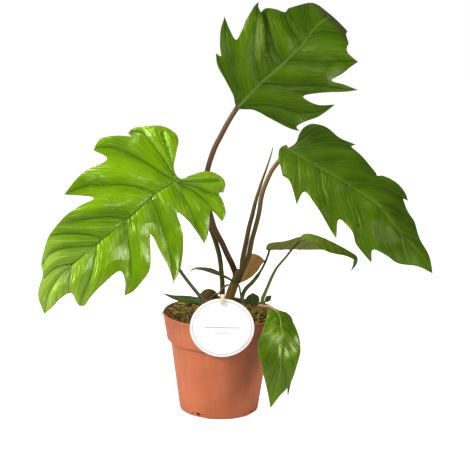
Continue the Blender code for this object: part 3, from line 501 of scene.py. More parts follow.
def bent(leaf, u, v, relief):
    """The places in mm of the flat points (u, v), raised by the relief."""
    line = smooth_curve(leaf["rib"], 24)
    run = np.concatenate([[0], np.cumsum(np.linalg.norm(np.diff(line, axis=0), axis=1))])
    length = run[-1]

    def on_rib(at):
        return np.stack([np.interp(at, run, column) for column in line.T], axis=1)

    def unit(vectors):
        return vectors / np.linalg.norm(vectors, axis=-1, keepdims=True)

    on = np.clip(u, 0, length)
    ahead = leaf.get("ahead", RIB_AHEAD)
    along = unit(on_rib(np.minimum(on + ahead, length)) - on_rib(np.maximum(on - ahead, 0)))
    share = ((on / length) ** leaf.get("turn", 1.0))[:, None]
    at_base, tip_sheen = (unit(np.array(leaf[key], float)) for key in ("face_base", "face_tip"))
    face = (1 - share) * at_base + share * tip_sheen
    across = unit(np.cross(along, face))
    up = np.cross(across, along)
    middle = on_rib(on) + along * (u - on)[:, None]
    low, high = leaf.get("fold", (0.0, 0.0))
    height = np.where(v < 0, low, high) * (np.hypot(v, RIB_ROUND) - RIB_ROUND)
    height = height + leaf.get("cup", 0.0) * v**2
    reach = np.minimum(np.abs(v) / WAVE_REACH, MOST_WAVE)
    ripple = np.sin(math.tau * (u - leaf.get("wave_start", 0.0)) / WAVE_LENGTH)
    height = height + leaf.get("wave", 0.0) * reach**2 * ripple + relief
    return middle + across * v[:, None] + up * height[:, None], up, length


# %% [markdown]
# Between two side veins the blade swells a little, and at each vein it sinks, so a large leaf
# looks quilted. The lane number says where a point lies: 0.5 is halfway between the first and
# the second vein of its half. The fine veins follow lines of equal lane number, so they run
# together towards the tips, as the real ones do. On the brighter leaves each swelling is also
# steeper on one side, like a roof tile, which gives the long highlights beside the veins.

# %% Lanes between the veins
OUTER_LANE = 14.0         # mm, the width that the lane before the first vein is given
OTHER_HALF = 20           # added to the lane numbers of the second half


def vein_field(leaf, points, length):
    """For each flat point: lane number, distance from the nearest vein, width of the lane."""
    lane, to_vein, width = np.zeros((3, len(points)))
    for side in (1, -1):
        half = points[:, 1] * side >= 0
        here = points[half]
        veins = [smooth_curve(vein, 8) for vein in leaf["veins"] if vein[-1][1] * side > 0]
        # the rest of the midrib closes the last lane
        veins.append(np.array([(veins[-1][0][0] + 4.0, 0.0), (length + 1.0, 0.0)]))
        found = [nearest(here, vein) for vein in veins]
        far = np.array([each[0] for each in found])
        ahead = np.array([each[1] for each in found]) * side < 0
        first = far.argmin(0)
        rows = np.arange(len(here))
        beyond = np.where(ahead[first, rows], first + 1, first - 1)
        known = (beyond >= 0) & (beyond < len(veins))
        other = np.where(known, far[np.clip(beyond, 0, len(veins) - 1), rows], OUTER_LANE)
        near = far[first, rows]
        lane[half] = first + np.where(ahead[first, rows], 1, -1) * near / (near + other + 1e-6)
        lane[half] += OTHER_HALF * (side < 0)
        to_vein[half] = far[:-1].min(0)
        width[half] = near + other
    return lane, to_vein, width


# %% [markdown]
# ## Working on one piece
# Operators act on whatever is selected, so each step first selects only its own piece. That is
# what a click does by hand. A finished piece is named, smoothed and given its material and the
# body that it rides on, and the CAD part that it replaces is hidden.

# %% Mesh helpers


def select_only(piece):
    deselect()
    piece.select_set(True)
    bpy.context.view_layer.objects.active = piece


def edit(piece, kind="VERT"):
    """Opens a piece in edit mode with all of it selected."""
    select_only(piece)
    bpy.ops.object.mode_set(mode="EDIT")
    bpy.ops.mesh.select_mode(type=kind)
    bpy.ops.mesh.select_all(action="SELECT")


def leave_edit():
    bpy.ops.object.mode_set(mode="OBJECT")


def modify(piece, kind, **settings):
    """Adds a modifier and applies it."""
    select_only(piece)
    modifier = piece.modifiers.new(kind.lower(), kind)
    for key, value in settings.items():
        setattr(modifier, key, value)
    bpy.ops.object.modifier_apply(modifier=modifier.name)
    return piece


def new_piece(name, corners, edges, faces, unit=MM):
    mesh = bpy.data.meshes.new(name)
    mesh.from_pydata((np.array(corners, float) * unit).tolist(), edges, faces)
    piece = bpy.data.objects.new(name, mesh)
    bpy.context.scene.collection.objects.link(piece)
    return piece


def write_attribute(piece, name, values):
    """Stores one (x, y, z) for each corner, which materials read back."""
    layer = piece.data.attributes.new(name, "FLOAT_VECTOR", "POINT")
    layer.data.foreach_set("vector", np.asarray(values, np.float32).ravel())


def read_places(piece):
    places = np.empty(len(piece.data.vertices) * 3, np.float32)
    piece.data.vertices.foreach_get("co", places)
    return places.reshape(-1, 3).astype(float)


def write_places(piece, places):
    piece.data.vertices.foreach_set("co", np.asarray(places, np.float32).ravel())
    piece.data.update()


def finish_piece(piece, name, node, look, smooth):
    """Names and smooths a piece, gives it its material and body, and hides the CAD part it replaces."""
    piece.name = name
    piece.data.name = name
    piece.data.materials.clear()
    piece.data.materials.append(look)
    select_only(piece)
    bpy.ops.object.shade_smooth_by_angle(angle=math.radians(smooth))
    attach(piece, "root")
    if node:
        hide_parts(node)
    print(name, "triangles:", sum(len(face.vertices) - 2 for face in piece.data.polygons))


# %% Flat sheet
NEAR_EDGE, NEAR_RIB, NEAR_VEIN = 0.5, 0.6, 0.55   # how near points may come, in spacings


def flat_sheet(leaf, spacing):
    """The outline, side veins and evenly spread points as a flat mesh of triangles, in mm."""
    edge = outline_line(leaf["outline"], spacing * 0.85)
    row = spacing * math.sqrt(3) / 2
    low, high = edge.min(0), edge.max(0)
    grid = [(i * spacing + (spacing / 2 if j % 2 else 0), j * row)
            for j in range(math.floor(low[1] / row), math.ceil(high[1] / row) + 1)
            for i in range(math.floor(low[0] / spacing) - 1, math.ceil(high[0] / spacing) + 1)]

    def inside(points):
        points = points[within(points, edge)]
        return points[nearest(points, edge, closed=True)[0] > spacing * NEAR_EDGE]

    grid = inside(np.array(grid, float))
    drawn = []
    for vein in leaf["veins"]:
        line = inside(evenly(smooth_curve(vein, 8), spacing))
        line = line[np.abs(line[:, 1]) > spacing * NEAR_RIB]
        if len(line) > 1:
            grid = grid[nearest(grid, line)[0] > spacing * NEAR_VEIN]
            drawn.append(line)
    points = np.vstack([edge, *drawn, grid])
    lines, first = [], len(edge)
    for line in drawn:
        lines.extend((first + i, first + i + 1) for i in range(len(line) - 1))
        first += len(line)
    ring = list(range(len(edge)))
    found = delaunay_2d_cdt([Vector(point) for point in points], lines, [ring], 1, 1e-6)
    piece = new_piece("sheet", [(x, y, 0.0) for x, y in found[0]], [], found[2], unit=1.0)
    piece.data.validate()
    edit(piece)
    bpy.ops.mesh.subdivide(number_cuts=1)
    leave_edit()
    return piece, edge


# %% Relief of a leaf
QUILT_REACH = 6.0         # mm from a vein, within which the blade swells up
GROOVE, GROOVE_WIDTH = 0.7, 2.0
BUMP_SIZE = 17.0          # mm, from one bump to the next
TILE_SKEW, TILE_WIDTH = 1.6, 24.0
TILES_FROM_EDGE, TILES_FROM_RIB = 11, 14
SMOOTH_FOOT = 8.0         # mm round the stalk, where the blade stays even
PLEAT = 2.2               # mm, half the step where a leaf is folded over itself
PLEAT_STEP, PLEAT_REACH, PLEAT_OPENS = 0.8, 9.0, 40


def leaf_relief(leaf, flat, lane, to_vein, width, to_edge):
    """How far each flat point is raised, in mm."""
    u, v = flat[:, 0], flat[:, 1]
    quilt = leaf.get("quilt", 1.0)
    puffed = quilt * (1 - np.exp(-to_vein / QUILT_REACH)) - quilt * 0.6
    puffed -= GROOVE * min(quilt, 1.2) * np.exp(-((v / GROOVE_WIDTH) ** 2))
    start = leaf["rib"][0][0]
    bumps = [noise.noise(Vector((a / BUMP_SIZE, b / BUMP_SIZE, start))) for a, b in flat]
    relief = puffed + leaf.get("bumps", 0.7) * np.array(bumps)
    crest = (np.sin(math.pi * (lane % 1) ** TILE_SKEW) * np.clip(to_edge / TILES_FROM_EDGE, 0, 1)
             * np.clip(np.abs(v) / TILES_FROM_RIB, 0, 1))
    relief += leaf.get("tiles", 0.0) * crest * np.minimum(width, TILE_WIDTH) / TILE_WIDTH
    relief *= 1 - np.exp(-(u**2 + v**2) / SMOOTH_FOOT**2)
    if "calm" in leaf:
        calm_from, calm_to = leaf["calm"]
        relief *= 1 - 0.8 * np.clip((u - calm_from) / (calm_to - calm_from), 0, 1)
    relief -= 0.5 * np.exp(-to_edge / 2.0)
    if "pleat" in leaf:
        far, side = nearest(flat, smooth_curve(leaf["pleat"], 8))
        end = leaf["pleat"][-1]
        opened = np.clip(np.hypot(u - end[0], v - end[1]) / PLEAT_OPENS, 0, 1)
        step_up = PLEAT * side * np.minimum(far / PLEAT_STEP, 1) * np.exp(-far / PLEAT_REACH)
        relief += step_up * opened * (v < 0)
    return relief


# %% Building a leaf
EDGE_THICK, UNDER_RIB, UNDER_VEIN = 0.45, 1.3, 0.35   # mm: the blade, and what its ribs add
RIB_HALF, VEIN_HALF = 2.2, 0.9
THICKEST = EDGE_THICK + UNDER_RIB + UNDER_VEIN


def thicken(piece, thickness):
    """Gives a sheet its thickness at each corner, in mm, and marks its new underside."""
    shell = piece.vertex_groups.new(name="thickness")
    for index, share in enumerate(thickness / THICKEST):
        shell.add([index], float(share), "REPLACE")
    modify(piece, "SOLIDIFY", thickness=THICKEST * MM, offset=-1.0, vertex_group="thickness",
           thickness_vertex_group=0.0)
    blade = piece.data.attributes["blade"].data
    for index in range(len(thickness), len(blade)):
        blade[index].vector[2] = 1.0


def make_leaf(name, leaf, look, replaced, spacing=2.6):
    """Draws a leaf flat, bends it, and gives it its thickness and its ribs underneath."""
    piece, edge = flat_sheet(leaf, spacing)
    flat = read_places(piece)[:, :2]
    u, v = flat[:, 0], flat[:, 1]
    length = bent(leaf, u[:1], v[:1], np.zeros(1))[2]
    lane, to_vein, width = vein_field(leaf, flat, length)
    to_edge = nearest(flat, edge, closed=True)[0]
    places, up, _ = bent(leaf, u, v, leaf_relief(leaf, flat, lane, to_vein, width, to_edge))
    write_places(piece, places * MM)
    faces = np.array([polygon.normal[:] for polygon in piece.data.polygons])
    if (faces.mean(0) * up.mean(0)).sum() < 0:
        edit(piece)
        bpy.ops.mesh.flip_normals()
        leave_edit()
    write_attribute(piece, "blade", np.stack([u / length, v, np.zeros(len(u))], 1))
    write_attribute(piece, "veins", np.stack([lane, np.abs(v) / 30, to_vein], 1))
    write_attribute(piece, "edges", np.repeat(to_edge, 3))
    taper = np.clip(1 - np.maximum(u, 0) / length, 0, 1)
    thickness = EDGE_THICK + UNDER_RIB * taper * np.exp(-((v / RIB_HALF) ** 2))
    thickness += UNDER_VEIN * np.exp(-((to_vein / VEIN_HALF) ** 2)) * np.clip(to_edge / 6, 0, 1)
    thicken(piece, thickness)
    finish_piece(piece, name, replaced, look, smooth=60.0)


# %% [markdown]
# ## The three large leaves
# The left leaf faces the light and is the brightest. The top one leans over backwards at its
# end. The right one hangs. Outlines and midribs are the CAD's own values, and the side veins
# were traced: each runs from the midrib into its lobe.

# %% Left leaf
LEFT_LEAF = dict(
    rib=[(-48, -30, 245), (-67, -41, 234), (-92, -58, 212), (-121, -77, 190), (-146, -93, 170),
         (-156, -101, 160), (-163, -107, 148), (-166, -114, 131)],
    face_base=(0.33, -0.75, 0.55), face_tip=(0.45, -0.8, 0.3), cup=-0.0012, wave=2.0, wave_start=12,
    quilt=1.6, bumps=0.3, tiles=2.6,
    outline=[
        (-7, 0), (-8, 12), (-20, 25), (-29, 34), (-31, 43), (-25, 55), (-12, 64), (0, 71), tip(10, 68),
        (10, 63), (19, 71), (27, 77), tip(36, 73),
        (34, 57), (53, 62), (75, 62), tip(95, 57),
        (75, 37), (90, 39), (110, 40), (133, 35), (147, 26), tip(154, 20),
        (160, 13), (176, 9), tip(190, 0),
        (180, -8), (170, -13), (156, -20), tip(171, -34),
        (155, -37), (128, -34), (102, -34), (103, -45), tip(113, -56),
        (103, -58), (89, -56), (75, -50), (56, -26), (59, -43), (63, -64), tip(68, -77),
        (56, -71), (41, -58), (27, -43), (17, -28), (10, -41), (8, -55), tip(7, -68),
        (-2, -59), (-14, -44), (-17, -50), tip(-18, -59),
        (-26, -54), (-31, -42), (-32, -33), tip(-37, -35),
        (-44, -28), (-44, -19), (-35, -8), (-19, -3),
    ],
    veins=[
        [(-4, 2), (-9, 16), (-15, 33), (-20, 50)],
        [(-3, 5), (-5, 32), (-5, 47), (-4, 62), (6, 68)],
        [(0, 1), (7, 16), (15, 36), (24, 60), (33, 73)],
        [(23, 0), (33, 17), (45, 32), (69, 49), (93, 57)],
        [(62, 0), (74, 12), (93, 24), (115, 37)],
        [(93, 0), (105, 14), (120, 27), (130, 34)],
        [(106, 0), (128, 16), (142, 22), (153, 20)],
        [(132, 0), (146, 8), (160, 11)],
        [(-4, -2), (-16, -9), (-28, -16), (-40, -22)],
        [(-3, -3), (-16, -16), (-24, -28), (-33, -35)],
        [(-2, -4), (-11, -19), (-15, -34), (-17, -56)],
        [(-1, -3), (2, -24), (4, -42), (7, -66)],
        [(29, 0), (42, -27), (54, -52), (66, -75)],
        [(63, 0), (73, -13), (84, -30), (97, -46), (111, -55)],
        [(103, 0), (114, -10), (130, -22), (150, -30), (169, -34)],
        [(134, 0), (146, -9), (158, -17)],
    ],
)
make_leaf("left_leaf", LEFT_LEAF, LEFT_SKIN, "leaf_left_blade")

# %% Top leaf
TOP_LEAF = dict(
    rib=[(13, 0, 316), (34, 5, 339), (58, 11, 360), (75, 17, 377), (87, 25, 392), (97, 35, 402),
         (106, 47, 406.5), (114, 61, 404), (120, 76, 394), (124, 87, 379)],
    face_base=(0.2, -0.9, 0.3), face_tip=(0.1, -0.1, 0.95), fold=(-0.05, -0.1), cup=-0.0006, turn=3.0,
    wave=2.0, wave_start=20, quilt=1.5, bumps=0.6, tiles=1.0, calm=(80, 120),
    pleat=[(98, -57), (93, -53), (82, -43), (76, -37), (62, -23), (49, -13), (37, -4)],
    outline=[
        (0, 0), (10, 14), (15, 32), (22, 53), tip(30, 63),
        (31, 57), (46, 59), (60, 64), tip(75, 66),
        (64, 54), (59, 38), (70, 45), (82, 57), tip(96, 74),
        (91, 57), (87, 46), (98, 51), (110, 53), tip(122, 55.5),
        (121, 42), (127, 37), (136, 35), (144, 30), (151, 23), (161, 18), (178, 11), tip(198, 0),
        (186, -9), (174, -15), (160, -20.5), (146, -24), (136, -26), (128, -28),
        (123, -30), (119, -32), (115, -34), (110, -34), (107, -44), (103, -52), (95, -53), (98, -57),
        tip(105, -61.5),
        (92, -62), (69, -58), (53, -52), (44, -49), (46, -61), tip(51, -75),
        (40, -67), (31, -55), (26, -47), tip(25, -53),
        (18, -43), (13, -28), (7, -12),
    ],
    veins=[
        [(2, 2), (12, 19), (21, 40), (29, 61)],
        [(5, 2), (21, 18), (39, 40), (56, 56), (73, 65)],
        [(34, 0), (46, 11), (63, 28), (83, 50), (95, 72)],
        [(70, 0), (90, 23), (106, 42), (120, 53)],
        [(105, 0), (119, 9), (132, 20), (143, 29)],
        [(146, 0), (156, 8), (166, 14)],
        [(3, -3), (13, -22), (20, -40), (25, -51)],
        [(4, -2), (14, -12), (26, -32), (36, -53), (50, -73)],
        [(34, 0), (42, -14), (56, -34), (78, -50), (104, -61)],
        [(64, 0), (68, -14), (78, -33), (92, -46), (102, -50)],
        [(91, 0), (97, -12), (103, -23), (108, -31)],
        [(106, 0), (113, -9), (121, -19), (129, -26)],
        [(140, 0), (150, -9), (160, -18)],
    ],
)
make_leaf("top_leaf", TOP_LEAF, TOP_SKIN, "leaf_top_blade")

# %% Right leaf
RIGHT_LEAF = dict(
    rib=[(67, 0, 275), (95, -10, 260), (124, -20, 245), (157, -33, 224), (168, -40, 210),
         (190, -52, 187), (208, -62, 164)],
    face_base=(0.2, -0.85, 0.4), face_tip=(0.3, -0.85, 0.3), fold=(-0.58, -0.1), cup=-0.001, wave=2.0,
    quilt=0.9, bumps=1.0, ahead=14.0,
    outline=[
        (-2, -1.5), (-6, -3), (-9, 5), (-4, 15), (2, 20), tip(9, 27),
        (18, 28), (29, 37), tip(36, 44),
        (36, 29), (53, 36), (77, 46), tip(94, 53),
        (83, 35), (105, 38), (127, 42), tip(147, 43),
        (138, 33), (151, 27), (165, 23), (179, 9), tip(193, 0),
        (176, -10), (157, -14), (140, -25), (115, -32), tip(117, -38),
        (107, -42), (90, -39), (85, -33), tip(82, -36),
        (62, -44), (47, -49), tip(49, -55),
        (30, -54), (12, -56), (-2, -51), (-6, -40), (-4, -25), (0, -12),
    ],
    veins=[
        [(1, 1), (-1, 9), (3, 18), (8, 25)],
        [(9, 0), (18, 12), (27, 27), (35, 42)],
        [(36, 0), (51, 18), (71, 35), (92, 51)],
        [(69, 0), (87, 16), (115, 31), (144, 42)],
        [(111, 0), (124, 11), (138, 20), (158, 25)],
        [(142, 0), (155, 8), (168, 14)],
        [(1, -3), (3, -22), (6, -40), (10, -52)],
        [(3, -2), (12, -18), (27, -40), (48, -53)],
        [(27, 0), (43, -16), (60, -31), (81, -35)],
        [(68, 0), (83, -14), (99, -27), (115, -36)],
        [(110, 0), (118, -9), (130, -18), (144, -21)],
        [(140, 0), (152, -7), (162, -11)],
    ],
)
make_leaf("right_leaf", RIGHT_LEAF, RIGHT_SKIN, "leaf_right_blade")

# %% [markdown]
# ## The small leaves
# Round the foot stand younger and older leaves. They have the same build, only smaller and
# with plain heart or strap shapes, so their side veins can be laid out by a rule: pairs that
# leave the midrib at equal steps and lean towards the tip. Only the front leaf, whose veins show
# well, has them listed one by one.

# %% Veins by a rule


def paired_veins(length, width, pairs, lean=0.9):
    """Side veins in pairs, each curving forwards as it leaves the midrib."""
    veins = []
    for side in (1, -1):
        for k in range(pairs):
            start = length * (0.02 + 0.72 * k / pairs)
            veins.append([(start, 0.0), (start + lean * width * 0.45, side * width * 0.55),
                          (start + lean * width * 1.15, side * width)])
    return veins


# %% Side leaves
SIDE_UPPER_LEAF = dict(
    rib=[(81, -2, 182.6), (91, -4, 184.6), (102, -6, 183.2), (113, -7, 179), (123, -8, 174.8),
         (132, -9, 170.2), (138, -9, 165.5), (137.3, -9, 158.6), (134, -9, 152)],
    face_base=(0.0, 0.0, 1.0), face_tip=(0.7, -0.7, 0.2), fold=(0.5, -0.75), turn=2.0,
    bumps=0.3, quilt=0.4,
    outline=[
        (-1, 0), (2, 2), (9, 3), (15, 7), (22, 11), (31, 11.5), (41, 9), (52, 5), (60, 3.7),
        (68, 2.8), tip(78, 0), (68, -2.3), (60, -3), (50, -3.5), (39, -5), (26, -7.2),
        (15, -9.2), (7, -12), (1.5, -12.3), (-1, -9), (-1.5, -4),
    ],
    veins=paired_veins(78, 11, 5),
)
SIDE_LOWER_LEAF = dict(
    rib=[(50.2, 24, 166.6), (61.5, 25, 166.8), (74.5, 27, 166.9), (89, 29, 166), (107.5, 31, 165.4)],
    face_base=(0.0, 0.0, 1.0), face_tip=(0.0, 0.0, 1.0), fold=(0.4, 2.2), bumps=0.3, quilt=0.4,
    outline=[
        (-3, 0), (-4, 4), (-3.5, 7), (0, 8.7), (8, 9.5), (17, 10.5), (30, 13), (44, 12), (53, 7),
        tip(58, 0), (43, -8), (28, -11), (12, -12), (1, -9), (-3.5, -4),
    ],
    veins=paired_veins(57, 11, 4),
)
make_leaf("side_leaf_upper", SIDE_UPPER_LEAF, SIDE_SKIN, "leaf_side_upper_blade", 1.6)
make_leaf("side_leaf_lower", SIDE_LOWER_LEAF, OLIVE_SKIN, "leaf_side_lower_blade", 1.6)

# %% Front leaves
FRONT_LEAF = dict(
    rib=[(57.7, -40, 115.1), (59.7, -48, 112.3), (61.1, -56, 104), (61.4, -62, 95), (60.9, -69, 79.5),
         (60.6, -72, 66), (58.2, -72, 51), (51.6, -68, 21.5)],
    face_base=(0.3, -0.6, 0.8), face_tip=(0.2, -0.9, 0.0), fold=(-0.05, 0.0), cup=-0.004,
    bumps=0.25, quilt=0.7, tiles=0.8,
    outline=[
        (0, 0), (-6, 2), (-8, 5), (-4, 9), (6, 13), (15, 16.5), (27, 20.5), (39, 23.5), (48, 23),
        (60, 19), (70, 16.5), (84, 10), tip(106, 0),
        (92, -5.5), (85, -10), (77, -13.5), (62, -17), (52, -20), (42, -21.5), (30, -20),
        (20, -17), (11, -13.5), (2, -10), (-5, -7), (-5, -3),
    ],
    veins=[
        [(4, 1), (9, 7), (20, 16)], [(16, 0), (27, 10), (42, 20)], [(33, 0), (46, 9), (62, 15)],
        [(58, 0), (70, 6), (84, 8)],
        [(3, -1), (6, -6), (12, -12)], [(9, 0), (15, -8), (24, -16)], [(18, 0), (25, -9), (36, -18)],
        [(34, 0), (46, -9), (60, -15)], [(56, 0), (68, -6), (80, -9)],
    ],
)
BEHIND_LEAF = dict(
    rib=[(63.6, -30, 112), (66, -37, 108), (67.4, -45, 97), (68.6, -52, 84), (69.8, -57, 68),
         (70.4, -59, 50), (69.7, -59, 32)],
    face_base=(0.4, -0.7, 0.6), face_tip=(0.4, -0.9, 0.0), cup=-0.005, bumps=0.3, quilt=0.5,
    outline=[
        (0, 0), (-3, 3), (2, 8), (14, 10), (34, 10), (52, 7), (68, 3.5), (79, 1.6), tip(91, 0),
        (79, -1.6), (68, -3.5), (52, -7), (34, -10), (14, -9), (2, -7), (-3, -3),
    ],
    veins=paired_veins(91, 9, 6),
)
make_leaf("front_leaf", FRONT_LEAF, FRONT_SKIN, "leaf_front_blade", 1.6)
make_leaf("leaf_behind_front", BEHIND_LEAF, DUSKY_SKIN, "leaf_behind_blade", 1.6)

# %% Leaves on the left
STRAP_LEAF = dict(
    rib=[(17, 5, 133.6), (11.1, 3, 137.6), (3.9, 1, 141.8), (-1.9, -1, 145.2), (-11.9, -3, 149.1),
         (-21.8, -5, 151.2), (-28.7, -6, 150.8), (-33.9, -7, 146.1)],
    face_base=(-0.3, -0.25, 0.9), face_tip=(-0.6, -0.25, 0.7), fold=(-0.3, 0.2), bumps=0.15, quilt=0.15,
    outline=[
        (-1, 0), (3, 2), (14, 3), (30, 5), (44, 3), tip(58, 0), (44, -3), (30, -5), (14, -3), (3, -2),
    ],
    veins=paired_veins(58, 3.4, 3, lean=3.0),
)
LOW_LEAF = dict(
    rib=[(-17.7, 20, 110), (-28.1, 16, 111.6), (-38.5, 11, 113.7), (-49.9, 6, 117.2), (-61.1, 1, 123)],
    face_base=(-0.1, -0.45, 0.9), face_tip=(-0.1, -0.45, 0.9), fold=(0.1, 0.1), cup=-0.004,
    bumps=0.3, quilt=0.3,
    outline=[
        (-1, 0), (-2, 3), (4, 5), (16, 7), (30, 5), tip(48, 0), (30, -4), (16, -6), (4, -5), (-2, -3),
    ],
    veins=paired_veins(48, 5, 4, lean=1.6),
)
BACK_LEAF = dict(
    rib=[(-63.5, -3, 187), (-71, -5, 193), (-80, -8, 195), (-89, -10, 192), (-96, -12, 186)],
    face_base=(-0.2, -0.4, 0.9), face_tip=(-0.6, -0.4, 0.6), cup=-0.005, bumps=0.4, quilt=0.7,
    outline=[
        (0, 0), (-4, 4), (0, 9), (9, 12), (19, 11), (29, 6), tip(39, 0),
        (29, -6), (19, -11), (9, -12), (0, -9), (-4, -4),
    ],
    veins=paired_veins(39, 10, 4),
)
make_leaf("strap_leaf", STRAP_LEAF, DUSKY_SKIN, "leaf_strap_blade", 1.2)
make_leaf("low_leaf", LOW_LEAF, DUSKY_SKIN, "leaf_low_blade", 1.2)
make_leaf("leaf_behind_left", BACK_LEAF, TOP_SKIN, "leaf_back_blade", 1.8)

# %% Young leaves
ROUND_LEAF = dict(
    rib=[(33.5, 9, 109.2), (33.6, 9, 113), (33.5, 8, 118), (33.3, 6.5, 122.3)],
    face_base=(0.0, -0.95, 0.2), face_tip=(0.0, -0.8, 0.5), cup=-0.008, bumps=0.2, quilt=0.3,
    outline=[
        (0, 0), (0, 4), (4, 7), (9, 6), tip(13.5, 0), (9, -6), (4, -7), (0, -4),
    ],
    veins=paired_veins(13, 5, 2),
)
YOUNG_LEAF = dict(
    rib=[(46.4, 15, 110.8), (48.6, 14, 113.8), (50.9, 13, 116.3), (53.3, 12, 119)],
    face_base=(-0.3, -0.9, 0.2), face_tip=(-0.3, -0.9, 0.2), bumps=0.1, quilt=0.15,
    outline=[(0, 0), (2, 2), (6, 3), tip(11, 0), (6, -3), (2, -2)],
    veins=paired_veins(11, 2, 2),
)
make_leaf("round_leaf", ROUND_LEAF, DUSKY_SKIN, "leaf_round_blade", 1.0)
make_leaf("young_leaf", YOUNG_LEAF, DUSKY_SKIN, "leaf_young_blade", 0.8)

# %% [markdown]
# ## Stalks
# Each leaf hangs on a stalk (its petiole): round, a little thicker at its foot, and swollen for
# a few millimetres just below the blade, where it can bend towards the light. A curve with a
# round bevel gives this, with its own radius at each point, and is then made a mesh. An attribute
# keeps how far along the stalk each point lies, because the colour changes on the way.

# %% Stalk skin group
WARM_GLOSS = (1.0, 0.85, 0.5)


def paint_stalk(tree, given):
    stalk = attribute(tree, "stalk")
    along = split(tree, stalk)[0]
    streaks = patches(tree, stretched(tree, stalk, (6.0, 5.0, 1.0)), 1.6)
    mottle = patches(tree, object_place(tree), 160.0)
    shade = mix(tree, step(tree, along, 0.1, 0.9), given["Foot"], given["Head"])
    amount = times(tree, step(tree, streaks, 0.45, 0.7), given["Amount"])
    shade = mix(tree, amount, shade, given["Streak"])
    shade = mix(tree, step(tree, mottle, 0.5, 0.8, 0.0, 0.35), shade, given["Streak"])
    rough = calculate(tree, "MULTIPLY_ADD", mottle, 0.2, 0.33)
    return shade, rough, calculate(tree, "ADD", streaks, mottle)


STALK_SKIN = skin_group("stalk_skin", paint_stalk, ("Foot", "Head", "Streak"), Amount=0.4)


def stalk_look(name, foot, head, streak, amount):
    values = dict(Foot=foot, Head=head, Streak=streak, Amount=amount)
    return skinned(name, STALK_SKIN, 0.15, values, Specular_IOR_Level=0.25,
                   Specular_Tint=WARM_GLOSS, Coat_Weight=0.06, Coat_Roughness=0.25)


# %% Stalk shapes
SWELL_LENGTH = 9.0        # mm, of the swelling under the blade
SEAT = 0.9                # mm, how deep under the upper side a stalk ends
STALK_STEP = 1.6          # mm, from one ring of corners to the next
WOBBLE_SIZE = 9.0
STALK_ROUNDNESS = 4       # a bevel resolution, which gives twelve sides


def trim_to_blade(piece, leaf):
    """Cuts a stalk's head flat along the underside of the blade that it carries."""
    at, up, _ = bent(leaf, np.zeros(1), np.zeros(1), np.zeros(1))
    seat = Vector(at[0] - up[0] * SEAT) * MM
    edit(piece)
    bpy.ops.mesh.bisect(plane_co=seat, plane_no=Vector(up[0]), use_fill=True, clear_outer=True)
    leave_edit()


def stalk_curve(name, line):
    """A round curve through (x, y, z, radius) in mm, made a closed mesh."""
    data = bpy.data.curves.new(name, "CURVE")
    data.dimensions = "3D"
    data.bevel_depth = MM
    data.bevel_resolution = STALK_ROUNDNESS
    data.use_fill_caps = True
    spline = data.splines.new("POLY")
    spline.points.add(len(line) - 1)
    for point, (x, y, z, radius) in zip(spline.points, line):
        point.co = (x * MM, y * MM, z * MM, 1.0)
        point.radius = radius
    piece = bpy.data.objects.new(name, data)
    bpy.context.scene.collection.objects.link(piece)
    select_only(piece)
    bpy.ops.object.convert(target="MESH")
    piece = bpy.context.active_object
    edit(piece)
    bpy.ops.mesh.remove_doubles(threshold=1e-6)
    bpy.ops.mesh.normals_make_consistent(inside=False)
    leave_edit()
    return piece


def make_stalk(name, points, look, replaced, swell=0.0, wobble=0.0, leaf=None):
    """A round stalk through points of (x, y, z, radius) in mm, up to its leaf."""
    line = evenly(smooth_curve(points, 16), STALK_STEP)
    run = np.linspace(0, 1, len(line))
    length = np.linalg.norm(np.diff(line[:, :3], axis=0), axis=1).sum()
    from_head = (1 - run) * length
    line[:, 3] *= 1 + swell * np.exp(-((from_head / SWELL_LENGTH) ** 2))
    line[:, 3] *= 1 + wobble * np.array([noise.noise(Vector(p[:3]) / WOBBLE_SIZE) for p in line])
    piece = stalk_curve(name, line)
    if leaf:
        trim_to_blade(piece, leaf)
    places = read_places(piece) / MM
    which = np.linalg.norm(places[:, None, :] - line[None, :, :3], axis=2).argmin(1)
    aside = places - line[which, :3]
    angle = np.arctan2(aside[:, 1], aside[:, 0])
    write_attribute(piece, "stalk", np.stack([run[which], np.cos(angle), np.sin(angle)], 1))
    finish_piece(piece, name, replaced, look, smooth=50.0)


def make_stalks(rows):
    """Each row: names of the stalk and its CAD node, slot (not used), leaf, swelling, points, colours.
    """
    for name, replaced, slot, leaf, swell, points, foot, head, streak, amount in rows:
        look = stalk_look(f"{name}_skin", foot, head, streak, amount)
        make_stalk(name, points, look, replaced, swell, leaf=leaf)


BROWN, GREEN, PINK = "stalk_brown", "stalk_green", "stalk_pink"

